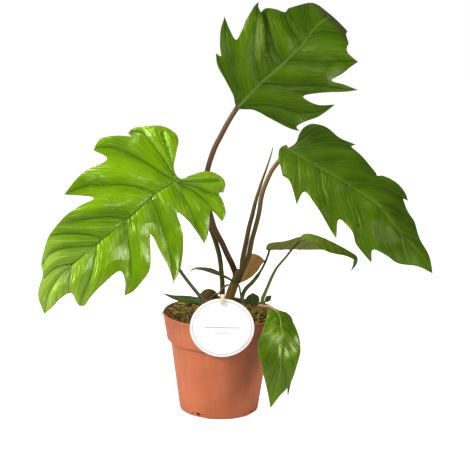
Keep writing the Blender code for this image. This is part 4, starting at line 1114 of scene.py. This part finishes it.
# %% Stem and stalks of the large leaves
make_stalks((
    ("stem", "main_stem", BROWN, None, 0.0,
     [(9, 24, 98, 5.2), (9.4, 23, 112, 5.2), (12.6, 22, 124, 5.0), (17, 21, 136, 4.6),
      (19.8, 20.5, 143, 4.2)],
     (0.25, 0.150, 0.026), (0.082, 0.062, 0.012), (0.36, 0.24, 0.05), 0.55),
    ("left_leaf_stalk", "leaf_left_petiole", GREEN, LEFT_LEAF, 0.12,
     [(1.6, 32, 98, 2.9), (1.7, 31.5, 112, 2.9), (1.6, 31, 121, 2.8), (1, 31, 130, 2.7),
      (0, 30.5, 139, 2.7), (-1, 29.5, 149, 2.6), (-3.1, 28, 160, 2.6), (-6.2, 26, 171, 2.6),
      (-9.5, 23, 181, 2.6), (-14, 18.5, 193, 2.6), (-20, 12, 204, 2.6), (-26, 3, 214, 2.6),
      (-32, -7, 223, 2.6), (-38.5, -17, 232, 2.6), (-45, -26, 240.5, 2.6), (-50, -31, 246, 2.6)],
     (0.085, 0.080, 0.020), (0.060, 0.075, 0.018), (0.15, 0.14, 0.03), 0.4),
    ("top_leaf_stalk", "leaf_top_petiole", BROWN, TOP_LEAF, 0.10,
     [(15, 22.5, 132, 3.2), (15, 25.5, 138.5, 3.2), (13.4, 26, 143, 3.2),
      (10.2, 24, 151, 3.2), (5.9, 21, 160, 3.1), (0.3, 16.5, 173, 3.0), (-7.3, 12, 188, 3.0),
      (-11, 10, 199.5, 3.0), (-13.4, 9.5, 208, 3.0), (-17.6, 9, 230, 2.9),
      (-16, 8, 251, 2.8), (-10, 6, 272, 2.8), (-3, 5, 287, 2.7), (4, 3.5, 301, 2.6),
      (11, 2.5, 313, 2.5), (15, 1, 319, 2.5)],
     (0.080, 0.038, 0.016), (0.100, 0.047, 0.026), (0.21, 0.105, 0.065), 0.35),
    ("right_leaf_stalk", "leaf_right_petiole", BROWN, RIGHT_LEAF, 0.10,
     [(17.5, 20, 131, 3.2), (20, 16.5, 139, 3.2), (23, 14.5, 147.5, 3.0),
      (28.1, 13, 160.3, 2.8), (31.2, 12, 177.9, 2.6), (34.5, 11.5, 191.4, 2.5),
      (36.9, 11, 202.1, 2.5), (38.3, 10.5, 210.1, 2.5), (39.4, 10, 220.7, 2.5),
      (41.6, 9, 231.4, 2.5), (45.9, 8, 243.3, 2.4), (50.4, 7, 253.2, 2.4),
      (56.5, 5.5, 262, 2.4), (65, 3, 272, 2.4), (69, 1, 276, 2.4)],
     (0.075, 0.055, 0.016), (0.20, 0.105, 0.045), (0.22, 0.14, 0.04), 0.4),
))

# %% Stalks of the small leaves
make_stalks((
    ("side_leaf_upper_stalk", "leaf_side_upper_petiole", GREEN, SIDE_UPPER_LEAF, 0.1,
     [(44.3, 25, 99, 2.2), (44.3, 24, 111.6, 2.1), (45.7, 23, 116, 2.0),
      (48.5, 20, 124.2, 1.8), (51.1, 17, 132.3, 1.7), (53.9, 14, 140.3, 1.6),
      (57.4, 11, 148.3, 1.4), (60.6, 9.5, 153.3, 1.3), (66.7, 7, 161.5, 1.2),
      (72.8, 4, 170.9, 1.2), (78.1, 1, 178, 1.1), (82.4, -2, 185, 1.1)],
     (0.25, 0.29, 0.040), (0.030, 0.036, 0.010), (0.16, 0.18, 0.04), 0.4),
    ("side_leaf_lower_stalk", "leaf_side_lower_petiole", BROWN, SIDE_LOWER_LEAF, 0.1,
     [(21.5, 25.5, 98, 2.2), (22.3, 25, 110, 2.2), (23.6, 24, 116.7, 2.2),
      (26.5, 22, 123.3, 2.2), (33.5, 19, 131.6, 2.1), (38.6, 18, 139, 1.9),
      (41, 18, 143, 1.3), (44.7, 19, 149.8, 1.2), (47.5, 20.5, 156.7, 1.2),
      (49.6, 22, 163, 1.1), (50.6, 23.5, 168, 1.1)],
     (0.18, 0.19, 0.04), (0.018, 0.016, 0.010), (0.16, 0.14, 0.05), 0.3),
    ("front_leaf_stalk", "leaf_front_petiole", PINK, FRONT_LEAF, 0.1,
     [(39, 9, 98, 1.7), (38.8, 6, 105, 1.6), (40.2, 2, 110.2, 1.6), (44.5, -6, 112, 1.5),
      (49.5, -17, 114.6, 1.5), (53.2, -28, 116, 1.4), (57.3, -39.1, 113.9, 1.3),
      (58.3, -42, 113.3, 1.3)],
     (0.50, 0.30, 0.16), (0.36, 0.20, 0.12), (0.56, 0.38, 0.22), 0.4),
    ("leaf_behind_front_stalk", "leaf_behind_petiole", PINK, BEHIND_LEAF, 0.1,
     [(50, 4, 98, 1.5), (50.5, 2, 105, 1.4), (54, -7, 109.5, 1.3), (59, -18, 110.5, 1.2),
      (63, -28, 111.5, 1.1)],
     (0.30, 0.18, 0.10), (0.20, 0.16, 0.08), (0.36, 0.24, 0.14), 0.4),
    ("strap_leaf_stalk", "leaf_strap_petiole", GREEN, STRAP_LEAF, 0.0,
     [(23.2, 12, 99, 1.3), (22.8, 11, 111, 1.2), (20.8, 9.3, 119.5, 1.1),
      (19.4, 7.2, 128, 1.0), (17.9, 5.6, 132, 0.9), (15.5, 4.2, 136, 0.9)],
     (0.14, 0.17, 0.05), (0.12, 0.15, 0.04), (0.2, 0.22, 0.08), 0.4),
    ("low_leaf_stalk", "leaf_low_petiole", GREEN, LOW_LEAF, 0.0,
     [(-15, 27, 97, 1.6), (-15.5, 26, 103, 1.5), (-16.9, 22.6, 107, 1.4), (-18.6, 18.8, 111.5, 1.3)],
     (0.06, 0.07, 0.03), (0.05, 0.07, 0.03), (0.1, 0.11, 0.05), 0.4),
    ("leaf_behind_left_stalk", "leaf_back_petiole", GREEN, BACK_LEAF, 0.1,
     [(-14, 4, 99, 2.2), (-16.5, 4, 111, 2.1), (-22, 4, 119, 2.0), (-29, 4, 127.5, 1.9),
      (-36.5, 4, 137, 1.9), (-43, 3, 146.5, 1.8), (-51, 1, 160, 1.6), (-58, -1, 173.5, 1.5),
      (-65, -3.5, 189, 1.4)],
     (0.10, 0.10, 0.045), (0.045, 0.05, 0.02), (0.14, 0.13, 0.06), 0.5),
    ("round_leaf_stalk", "leaf_round_petiole", GREEN, ROUND_LEAF, 0.0,
     [(32, 18, 98, 1.3), (32.3, 16.5, 104.5, 1.2), (33.5, 9, 110.4, 1.0)],
     (0.06, 0.08, 0.03), (0.05, 0.08, 0.03), (0.1, 0.12, 0.05), 0.4),
    ("young_leaf_stalk", "leaf_young_petiole", GREEN, YOUNG_LEAF, 0.0,
     [(45.5, 20, 97, 1.0), (45.6, 19.3, 104, 0.9), (46, 17.5, 108.5, 0.8), (46.6, 14.5, 112, 0.8)],
     (0.10, 0.12, 0.04), (0.08, 0.12, 0.04), (0.14, 0.15, 0.06), 0.4),
))

# %% New leaf
make_stalks((
    ("new_leaf", "new_leaf_spike", GREEN, None, 0.0,
     [(20.4, 23.4, 141.5, 1.7), (21.8, 24.2, 153, 2.5), (23.5, 23.2, 162, 2.7), (25.9, 21, 176, 2.6),
      (28.1, 19.5, 190, 2.4), (31.1, 18.5, 203, 2.3), (34, 17.5, 217, 2.0), (37.4, 17, 230, 1.7),
      (40.5, 16.5, 240.5, 1.4), (43.7, 16, 250, 1.1), (46.7, 15, 260, 0.9),
      (49, 14.5, 268.3, 0.7), (50.5, 14, 275, 0.4)],
     (0.15, 0.095, 0.028), (0.090, 0.078, 0.026), (0.34, 0.24, 0.09), 0.6),
))

# %% [markdown]
# ## Sheath and dry bits
# Each new leaf breaks out of a sheath, which dries to a thin golden-brown skin and stays on the
# stem. It is a thin sheet like a leaf, with lengthwise veins only. A withered leaf and a
# twisted dry stalk lie on the soil.

# %% Dry skin group


def paint_dry(tree, given):
    lines = patches(tree, stretched(tree, attribute(tree, "blade"), (1.2, 1.1, 0.0)), 2.0)
    blotch = patches(tree, object_place(tree), 120.0, 4.0)
    shade = mix(tree, step(tree, lines, 0.35, 0.65), given["Dark"], given["Pale"])
    shade = mix(tree, step(tree, blotch, 0.5, 0.8, 0.0, 0.6), shade, given["Dark"])
    rough = calculate(tree, "MULTIPLY_ADD", blotch, 0.3, 0.45)
    return shade, rough, calculate(tree, "ADD", lines, blotch)


DRY_SKIN = skin_group("dry_skin", paint_dry, ("Pale", "Dark"))


def dry_look(name, pale, dark):
    return skinned(name, DRY_SKIN, 0.3, dict(Pale=pale, Dark=dark), Specular_IOR_Level=0.15,
                   Specular_Tint=WARM_GLOSS)


# %% Sheath, withered leaf and dry stalk
SHEATH = dict(
    rib=[(21, 24.5, 131.8), (28.3, 27, 139.5), (34.5, 28, 146.4), (40.2, 28, 150.3), (46.8, 27, 152.3)],
    face_base=(0.1, -1.0, 0.1), face_tip=(0.1, -1.0, 0.3), fold=(-0.1, -0.15), bumps=0.5, quilt=0.0,
    outline=[
        (-4, 0), (2, 4), (12, 6.5), (22, 6), tip(33.5, 0), (29, -7), tip(25, -12), (12, -9), (2, -4),
    ],
    veins=[[(0, 2), (14, 4), (26, 3)], [(0, -2), (12, -5), (24, -8)]],
)
WITHERED = dict(
    rib=[(-3, 34, 109.6), (-9, 34, 113.6), (-15, 34, 114.6), (-21, 33, 111.6), (-25, 32, 108.6)],
    face_base=(0.0, -0.6, 0.8), face_tip=(-0.4, -0.6, 0.6), fold=(-0.5, -0.4), bumps=1.2, quilt=0.6,
    outline=[(0, 0), (2, 4), (9, 6), (17, 5), tip(26, 0), (17, -6), (9, -7), (2, -4)],
    veins=paired_veins(26, 5, 3),
)
make_leaf("sheath", SHEATH, dry_look("golden_sheath", (0.72, 0.43, 0.12), (0.42, 0.21, 0.05)),
          "stem_sheath", 1.2)
make_leaf("withered_leaf", WITHERED,
          dry_look("withered_skin", (0.090, 0.060, 0.014), (0.026, 0.016, 0.004)),
          "dry_leaf", 1.2)
DRY_STALK_LOOK = stalk_look(
    "dry_stalk_skin", (0.10, 0.055, 0.018), (0.22, 0.13, 0.04), (0.34, 0.22, 0.08), 0.6)
make_stalk("dry_stalk_bit",
           [(-13, 17, 99, 1.1), (-12, 16, 110, 1.2), (-7, 13.5, 118, 1.0), (-2, 12, 120, 1.2),
            (1, 11, 125, 0.9), (6, 8, 130, 1.0), (8, 6, 131, 0.6)],
           DRY_STALK_LOOK, "dry_stalk", wobble=0.5)

# %% [markdown]
# ## Pot
# The pot is blow-thin moulded plastic in terracotta colour: a tapered wall, a deep collar so that
# pots stack, and a foot with shallow notches that drain. It could be built from a cylinder, loop
# by loop. It is spun here from one given profile, because outside, lip and inside then come
# out of a single line, and the notches are cut afterwards.

# %% Pot profile and spin
RIM_RADIUS, POT_HEIGHT = 60.0, 104.0
COLLAR_FOOT_RADIUS, COLLAR_FOOT = 55.2, 76.0
BASE_RADIUS = 41.3
POT_PROFILE = [
    (0, 0.8), (36.5, 0.8), (37.5, 0.2), (38.3, 0), (40.1, 0), (40.9, 0.35), (41.3, 1.2),
    (43.6, 17.6), (46.0, 34.5), (48.6, 53.0), (51.1, 70.6), (51.3, 72.0), (51.5, 73.4),
    (52.0, 74.6), (53.0, 75.4), (54.4, 75.8), (55.1, 76.1), (55.4, 76.8), (56.6, 84.0),
    (57.9, 91.6), (59.0, 98.2), (59.4, 100.2), (59.75, 101.2), (59.9, 102.6), (59.8, 103.4),
    (59.4, 103.85), (58.9, 104.0), (58.5, 103.9), (58.1, 103.3), (57.9, 102.2), (55.9, 90.0),
    (53.7, 78.0), (49.8, 73.0), (47.4, 55.0), (44.3, 33.0), (40.55, 9.0), (39.6, 6.2),
    (37.6, 3.9), (35.6, 3.1), (0, 3.0),
]
SPIN_STEPS = 120


def spun(name, profile, steps):
    """A profile of (radius, height) in mm turned once round Z."""
    edges = [(i, i + 1) for i in range(len(profile) - 1)]
    piece = new_piece(name, [(radius, 0, height) for radius, height in profile], edges, [])
    edit(piece)
    bpy.ops.mesh.spin(steps=steps, angle=math.tau, center=(0, 0, 0), axis=(0, 0, 1))
    bpy.ops.mesh.select_all(action="SELECT")
    bpy.ops.mesh.remove_doubles(threshold=2e-5)
    bpy.ops.mesh.normals_make_consistent(inside=False)
    leave_edit()
    return piece


pot = spun("nursery_pot", POT_PROFILE, SPIN_STEPS)
print("pot faces:", len(pot.data.polygons))

# %% Foot notches
NOTCH_ANGLES = [math.radians(-31 + 90 * k) for k in range(4)]
NOTCH_SIZE, NOTCH_ROUND = (16, 3.2, 9), 0.7
DRAIN_RADIUS, DRAIN_DEPTH, DRAIN_AT, DRAIN_HEIGHT = 2.2, 16, 35.6, 3.45


def apply_place(piece):
    """Puts the object's place, turn and size into its mesh."""
    select_only(piece)
    bpy.ops.object.transform_apply(location=True, rotation=True, scale=True)


for angle in NOTCH_ANGLES:
    out = Vector((math.sin(angle), -math.cos(angle), 0))
    deselect()
    bpy.ops.mesh.primitive_cube_add(size=1, location=out * BASE_RADIUS * MM, rotation=(0, 0, angle))
    recess = bpy.context.active_object
    recess.scale = [side * MM for side in NOTCH_SIZE]
    apply_place(recess)
    modify(recess, "BEVEL", width=NOTCH_ROUND * MM, segments=3)
    deselect()
    bpy.ops.mesh.primitive_cylinder_add(
        vertices=24, radius=DRAIN_RADIUS * MM, depth=DRAIN_DEPTH * MM,
        location=out * DRAIN_AT * MM + Vector((0, 0, DRAIN_HEIGHT * MM)),
        rotation=(math.radians(90), 0, angle))
    for cutter in (recess, bpy.context.active_object):
        modify(pot, "BOOLEAN", operation="DIFFERENCE", solver="EXACT", object=cutter)
        bpy.data.objects.remove(cutter, do_unlink=True)
print("pot faces with notches:", len(pot.data.polygons))

# %% [markdown]
# The plastic is coloured all through and has a satin, slightly chalky surface: faint upright
# streaks from moulding, small scuffs, and peat that clings to the rim. A photo wrapped round it
# would be too coarse near by, so four noises of different sizes are laid over each other.

# %% Pot material
RIM_FROM, RIM_TO = 0.097, 0.1045      # m, where peat clings


def paint_pot(tree):
    place = object_place(tree)
    clouds = patches(tree, place, 22.0)
    upright = patches(tree, stretched(tree, place, (1.0, 1.0, 0.06)), 220.0, 2.0)
    grain = patches(tree, place, 1500.0, 2.0)
    scuffs = patches(tree, stretched(tree, place, (1.0, 1.0, 3.0)), 130.0, 5.0, 0.7)
    shade = mix(tree, step(tree, clouds, 0.3, 0.7), (0.475, 0.122, 0.044), (0.56, 0.155, 0.060))
    shade = mix(tree, step(tree, upright, 0.45, 0.7, 0.0, 0.2), shade, (0.64, 0.215, 0.110))
    shade = mix(tree, step(tree, scuffs, 0.62, 0.78, 0.0, 0.2), shade, (0.70, 0.30, 0.18))
    at_rim = step(tree, split(tree, place)[2], RIM_FROM, RIM_TO)
    soiled = times(tree, times(tree, at_rim, step(tree, clouds, 0.45, 0.6)), 0.35)
    shade = mix(tree, soiled, shade, (0.20, 0.09, 0.045))
    rough = calculate(tree, "MULTIPLY_ADD", scuffs, 0.25, 0.38)
    return shade, rough, calculate(tree, "MULTIPLY_ADD", grain, 0.25, upright)


finish_piece(pot, "nursery_pot", "pot",
             painted("terracotta_plastic", paint_pot, 0.08, Specular_IOR_Level=0.4), smooth=35.0)

# %% [markdown]
# ## Soil
# The soil is coarse peat with crumbs, moss and fibres. Its ball is spun like the pot, then its top
# is raised to a mound and roughened with noise. Crumbs, moss and fibres are each modelled once
# with few faces and then copied many times, all with a fixed seed. A few larger straws, some of
# them over the rim on the left, are laid one by one where the photo shows such bits.

# %% Soil ball
SOIL_EDGE, SOIL_MOUND = 101.0, 9.0
STEM_FOOT = (9.0, 24.0)
SOIL_RADIUS, MOUND_RADIUS, STEM_MOUND_RADIUS = 57.2, 58.0, 26.0
SOIL_RINGS, SOIL_STEPS = 52, 144
CLOD_SIZE, CRUMB_SIZE = 7.0, 3.2


def rough_soil(x, y):
    """The height in mm of the mound with its clods and crumbs, at (x, y) in mm."""
    share = min(math.hypot(x, y) / MOUND_RADIUS, 1.0)
    from_stem = math.hypot(x - STEM_FOOT[0], y - STEM_FOOT[1]) / STEM_MOUND_RADIUS
    mound = SOIL_EDGE + SOIL_MOUND * (0.6 * (1 - share**3) + 0.4 * math.exp(-(from_stem**2)))
    clods = 1.4 * noise.noise(Vector((x, y, 0.0)) / CLOD_SIZE) * (1 - share**8)
    crumbs = 0.9 * noise.turbulence(Vector((x, y, 5.0)) / CRUMB_SIZE, 3, True) - 0.5
    return mound + clods + crumbs


rings = [(SOIL_RADIUS * k / SOIL_RINGS, SOIL_EDGE) for k in range(SOIL_RINGS + 1)]
walls = [(53.4, 78.3), (49.5, 73.3), (40.2, 9.3), (36.0, 3.3), (0, 3.3)]
soil = spun("soil_ball", rings + walls, SOIL_STEPS)
places = read_places(soil) / MM
on_top = places[:, 2] > SOIL_EDGE - 0.01
places[on_top, 2] = [rough_soil(x, y) for x, y in places[on_top, :2]]
write_places(soil, places * MM)

# %% [markdown]
# Peat is rough at every scale and never shines. It is painted from two noises, a coarse one for
# lumps and a fine one for crumbs, and a third lays green moss over them. On the loose bits an
# attribute also gives each copy its own tint, or they would all look alike.

# %% Peat


def peat_look(name, dark, mid, moss, tinted=False):
    def paint(tree):
        place = object_place(tree)
        clods = patches(tree, place, 130.0, 4.0, 0.65)
        fine = patches(tree, place, 700.0, 4.0, 0.7)
        green = patches(tree, stretched(tree, place, (1.0, 1.0, 0.6)), 75.0)
        shade = mix(tree, step(tree, clods, 0.35, 0.65), dark, mid)
        shade = mix(tree, step(tree, green, 0.47, 0.62, 0.0, 0.85), shade, moss)
        shade = mix(tree, step(tree, fine, 0.3, 0.7, 0.75, 0.0), shade, dark)
        if tinted:
            tint = split(tree, attribute(tree, "tint"))[0]
            shade = mix(tree, step(tree, tint, 0.0, 1.0), shade, moss)
        return shade, 0.95, calculate(tree, "ADD", clods, fine)

    return painted(name, paint, 0.8, Specular_IOR_Level=0.2)


PEAT = peat_look("peat", (0.018, 0.010, 0.004), (0.090, 0.052, 0.018), (0.17, 0.120, 0.022))
finish_piece(soil, "soil_ball", "soil", PEAT, smooth=60.0)
CRUMB_LOOK = peat_look(
    "peat_crumbs", (0.025, 0.014, 0.005), (0.120, 0.065, 0.022), (0.19, 0.12, 0.025), tinted=True)
MOSS_LOOK = peat_look(
    "moss", (0.07, 0.055, 0.01), (0.20, 0.155, 0.022), (0.46, 0.34, 0.06), tinted=True)
STRAW_LOOK = peat_look(
    "straw", (0.16, 0.09, 0.03), (0.42, 0.27, 0.09), (0.62, 0.45, 0.17), tinted=True)

# %% Small shapes of crumbs, strands and moss
MOSS_BLADE = np.array([(0, -0.28, 0), (0, 0.28, 0), (1.2, 0.22, 0.1), (1.2, -0.22, 0.1),
                       (2.3, 0, -0.2), (0.6, 0, -0.25)])
MOSS_FACES = ((0, 3, 2, 1), (3, 4, 2), (0, 1, 5), (1, 2, 5), (2, 4, 5), (4, 3, 5), (3, 0, 5))


def crumb_shape():
    """A lump: an icosphere with its points pushed in and out."""
    deselect()
    bpy.ops.mesh.primitive_ico_sphere_add(subdivisions=1, radius=1)
    ball = bpy.context.active_object
    lumps = read_places(ball)
    lumps *= np.array([[1 + 0.5 * noise.noise(Vector(p) * 1.7)] for p in lumps])
    faces = [tuple(face.vertices) for face in ball.data.polygons]
    bpy.data.objects.remove(ball, do_unlink=True)
    return lumps, faces


def strand_shape(length, width, bend, segments=5, sides=3):
    """A thin bent thread, three-sided, closed to a point at both ends."""
    along = np.linspace(0, 1, segments + 1)
    middle = np.stack([length * along, np.zeros(segments + 1), bend * np.sin(math.pi * along)], 1)
    thick = width * np.sin(math.pi * np.clip(along, 0.04, 0.96)) ** 0.4
    places, faces = [], []
    for point, radius in zip(middle, thick):
        for k in range(sides):
            angle = math.tau * k / sides
            places.append(point + radius * np.array([0, math.cos(angle), math.sin(angle)]))
    for i in range(segments):
        for k in range(sides):
            a, b = i * sides + k, i * sides + (k + 1) % sides
            faces.append((a, b, b + sides, a + sides))
    faces.append(tuple(range(sides))[::-1])
    faces.append(tuple(segments * sides + k for k in range(sides)))
    return np.array(places), faces


def moss_shape(blades=5):
    """A tuft of short pointed leaves."""
    places, faces = [], []
    for k in range(blades):
        turn = Matrix.Rotation(math.tau * k / blades, 3, "Z")
        lean = np.array(turn @ Matrix.Rotation(-0.9, 3, "Y"))
        faces += [tuple(len(places) + corner for corner in face) for face in MOSS_FACES]
        places.extend(MOSS_BLADE @ lean.T)
    return np.array(places), faces


# %% Crumbs, moss and fibres
rng = np.random.RandomState(7)
ANY_WAY, UPRIGHT = 3.1, 0.6           # radians, how far a bit may lean


def joined(name, copies, faces, tints, look):
    """Copies of one small shape as a single piece, each copy with its own tint."""
    count = len(copies[0])
    all_faces = [tuple(corner + k * count for corner in face)
                 for k in range(len(copies)) for face in faces]
    piece = new_piece(name, np.vstack(copies), [], all_faces)
    write_attribute(piece, "tint", np.repeat(tints, 3 * count))
    finish_piece(piece, name, None, look, smooth=50.0)


def scatter(name, shape, count, reach, look, sink=0.4, size=(0.6, 1.4), flat=1.0, lean=ANY_WAY):
    """Copies a small shape of (places, faces) over the soil, each turned and sized by chance."""
    places, faces = shape
    copies, tints = [], []
    for _ in range(count):
        angle, far = rng.uniform(0, math.tau), reach * math.sqrt(rng.uniform(0.02, 1))
        x, y = far * math.cos(angle), far * math.sin(angle)
        turn = Matrix.Rotation(rng.uniform(0, math.tau), 3, "Z")
        tilt = Matrix.Rotation(rng.uniform(-1, 1) * lean, 3, "X")
        scale = rng.uniform(*size)
        copy = places * scale * (1, 1, flat) @ np.array(turn @ tilt).T
        copies.append(copy + (x, y, rough_soil(x, y) + sink * scale))
        tints.append(rng.uniform(0, 1))
    joined(name, copies, faces, tints, look)


scatter("crumbs", crumb_shape(), 520, 55.0, CRUMB_LOOK, size=(0.5, 1.7))
scatter("clods", crumb_shape(), 60, 52.0, CRUMB_LOOK, size=(1.6, 3.0), flat=0.8, sink=0.2)
scatter("moss_tufts", moss_shape(), 700, 55.0, MOSS_LOOK, size=(0.6, 1.3), lean=UPRIGHT)
scatter("fibres", strand_shape(9.0, 0.22, 1.6), 260, 54.0, STRAW_LOOK, size=(0.5, 1.3),
        lean=UPRIGHT, sink=0.3)
scatter("dark_fibres", strand_shape(8.0, 0.35, 1.2), 160, 50.0, CRUMB_LOOK, size=(0.5, 1.1),
        lean=UPRIGHT, sink=0.5)

# %% Straws laid one by one
STRAW_RADIUS, STRAW_RISE, STRAW_WIDER = 0.035, 0.12, 28    # a radius of 1 mm at thickness 1
STRAW_TINT = 0.4


def laid(name, straws, look):
    """A few thin dry bits, each laid from one given point to another, in mm."""
    places, faces = strand_shape(1.0, STRAW_RADIUS, STRAW_RISE)
    copies = []
    for start, end, thick in straws:
        along = Vector(end) - Vector(start)
        turn = np.array(along.to_track_quat("X", "Z").to_matrix())
        wide = thick * STRAW_WIDER
        copies.append((places * (along.length, wide, wide)) @ turn.T + np.array(start))
    joined(name, copies, faces, [STRAW_TINT] * len(straws), look)


laid("straws_at_rim", [
    ((-61.5, -16, 103.4), (-50, -10, 105), 1.1), ((-58, -5, 105.2), (-44, -1, 105.5), 1.3),
    ((-59.5, -20, 104.4), (-49, -24, 104.6), 0.8), ((-53, 6, 106), (-40, 2, 107.5), 1.0),
    ((8, -2, 110), (12, -12, 109), 0.9), ((37, -30, 105), (45, -26, 106), 0.8),
], CRUMB_LOOK)
laid("straws_on_soil", [
    ((-48, -14, 105.2), (-38, -24, 106.4), 0.6), ((-40, -8, 107.4), (-30, -14, 108.6), 0.6),
    ((36, -12, 108.4), (46, -20, 106.4), 0.6), ((33, -22, 107.6), (44, -8, 107), 0.7),
    ((-45, -2, 106.6), (-36, 6, 108.6), 0.5),
], STRAW_LOOK)
laid("mossy_twigs", [
    ((30, -27, 106.5), (51, -15, 110.5), 1.7), ((38, -33, 105.5), (43, -21, 108), 1.1),
], MOSS_LOOK)

# %% [markdown]
# ## Card and pick
# The card is stiff white board, punched round, with a thin printed ring and two plain rules. It
# is a cylinder, bevelled at its cut edge, with the print in its material. The pick is a flat
# strip of pale wood with a hooked, rounded head. Its outline is drawn from the side and extruded.

# %% Card
CARD_RADIUS, CARD_THICK, CARD_HEIGHT, CARD_X = 32.0, 0.6, 103.6, 1.8
LEAN = math.atan((RIM_RADIUS - COLLAR_FOOT_RADIUS) / (POT_HEIGHT - COLLAR_FOOT))
GAP = 0.3
RING_AT, RING_HALF = 29.3, 0.22
RULES = ((0.6, 0.35, 17.0), (-5.6, 0.2, 8.0))     # height, half the thickness, half the length
INK_BLUR = 0.08


def card_point(up, out):
    """(y, z) in mm at a height along the card from its centre, and so far in front of its back."""
    front = COLLAR_FOOT_RADIUS + math.tan(LEAN) * (CARD_HEIGHT - COLLAR_FOOT) + GAP
    y = -front - up * math.sin(LEAN) - out * math.cos(LEAN)
    return y, CARD_HEIGHT + up * math.cos(LEAN) - out * math.sin(LEAN)


def paint_card(tree):
    y, z = card_point(0, CARD_THICK / 2)
    parts = {"Vector": object_place(tree), "Location": (CARD_X * MM, y * MM, z * MM),
             "Rotation": (LEAN, 0, 0)}
    centred = add_node(tree, "ShaderNodeMapping", parts, vector_type="TEXTURE").outputs[0]
    across, out, up = split(tree, centred)
    squares = calculate(tree, "MULTIPLY_ADD", across, across, times(tree, up, up))

    def line(value, middle, half):
        off = calculate(tree, "ABSOLUTE", calculate(tree, "SUBTRACT", value, middle * MM))
        return step(tree, off, (half - INK_BLUR) * MM, (half + INK_BLUR) * MM, 1.0, 0.0)

    printed = line(calculate(tree, "SQRT", squares), RING_AT, RING_HALF)
    for height, half, reach in RULES:
        rule = times(tree, line(up, height, half), line(across, 0.0, reach))
        printed = calculate(tree, "MAXIMUM", printed, rule)
    printed = times(tree, printed, step(tree, out, 0.0, -0.1 * MM))
    fibres = patches(tree, object_place(tree), 900.0)
    shade = mix(tree, step(tree, fibres, 0.3, 0.7), grey(0.93), grey(0.96))
    return mix(tree, times(tree, printed, 0.75), shade, grey(0.10)), 0.55, fibres


deselect()
bpy.ops.mesh.primitive_cylinder_add(
    vertices=128, radius=CARD_RADIUS * MM, depth=CARD_THICK * MM, end_fill_type="NGON",
    location=(CARD_X * MM, *(value * MM for value in card_point(0, CARD_THICK / 2))),
    rotation=(math.radians(90) + LEAN, 0, 0))
card = bpy.context.active_object
apply_place(card)
edit(card, "FACE")
bpy.ops.mesh.select_all(action="DESELECT")
leave_edit()
for face in card.data.polygons:
    face.select = len(face.vertices) > 4
bpy.ops.object.mode_set(mode="EDIT")
bpy.ops.mesh.inset(thickness=0.25 * MM)
leave_edit()
modify(card, "BEVEL", width=0.12 * MM, segments=2, limit_method="ANGLE")
finish_piece(card, "round_card", "label_card",
             painted("white_board", paint_card, 0.03, Specular_IOR_Level=0.35), smooth=30.0)

# %% Pick
PICK_WIDTH, PICK_WALL, PICK_ROUND = 4.0, 1.3, 0.35
PICK_FOOT = [(-46.8, 92.0), (-48.2, 92.0)]


def paint_wood(tree):
    grain = patches(tree, stretched(tree, object_place(tree), (1.0, 1.0, 0.08)), 1400.0)
    shade = mix(tree, step(tree, grain, 0.3, 0.7), (0.62, 0.50, 0.28), (0.80, 0.70, 0.47))
    return shade, calculate(tree, "MULTIPLY_ADD", grain, 0.2, 0.5), grain


def make_pick():
    back, front = -GAP, CARD_THICK + GAP
    back_face, front_face = back - PICK_WALL, front + PICK_WALL
    crown, lip, bend = CARD_RADIUS + 4.4, CARD_RADIUS - 5.4, CARD_RADIUS - 7.0
    head = [(lip, front), (lip, front_face), (crown - 1.2, front_face),
            (crown - 0.3, front_face - 0.3), (crown, front / 2), (crown - 0.3, back_face + 0.3),
            (crown - 1.2, back_face), (bend, back_face)]
    throat = [(bend, back), (CARD_RADIUS + GAP, back), (CARD_RADIUS + GAP, front)]
    outline = [card_point(*point) for point in head] + PICK_FOOT
    outline += [card_point(*point) for point in throat]
    left = CARD_X - PICK_WIDTH / 2
    piece = new_piece("pick", [(left, y, z) for y, z in outline], [], [tuple(range(len(outline)))])
    edit(piece, "FACE")
    bpy.ops.mesh.extrude_region_move(TRANSFORM_OT_translate={"value": (PICK_WIDTH * MM, 0, 0)})
    bpy.ops.mesh.select_all(action="SELECT")
    bpy.ops.mesh.normals_make_consistent(inside=False)
    leave_edit()
    return modify(piece, "BEVEL", width=PICK_ROUND * MM, segments=3, limit_method="ANGLE")


finish_piece(make_pick(), "wooden_pick", "label_pick",
             painted("pale_wood", paint_wood, 0.1), smooth=30.0)
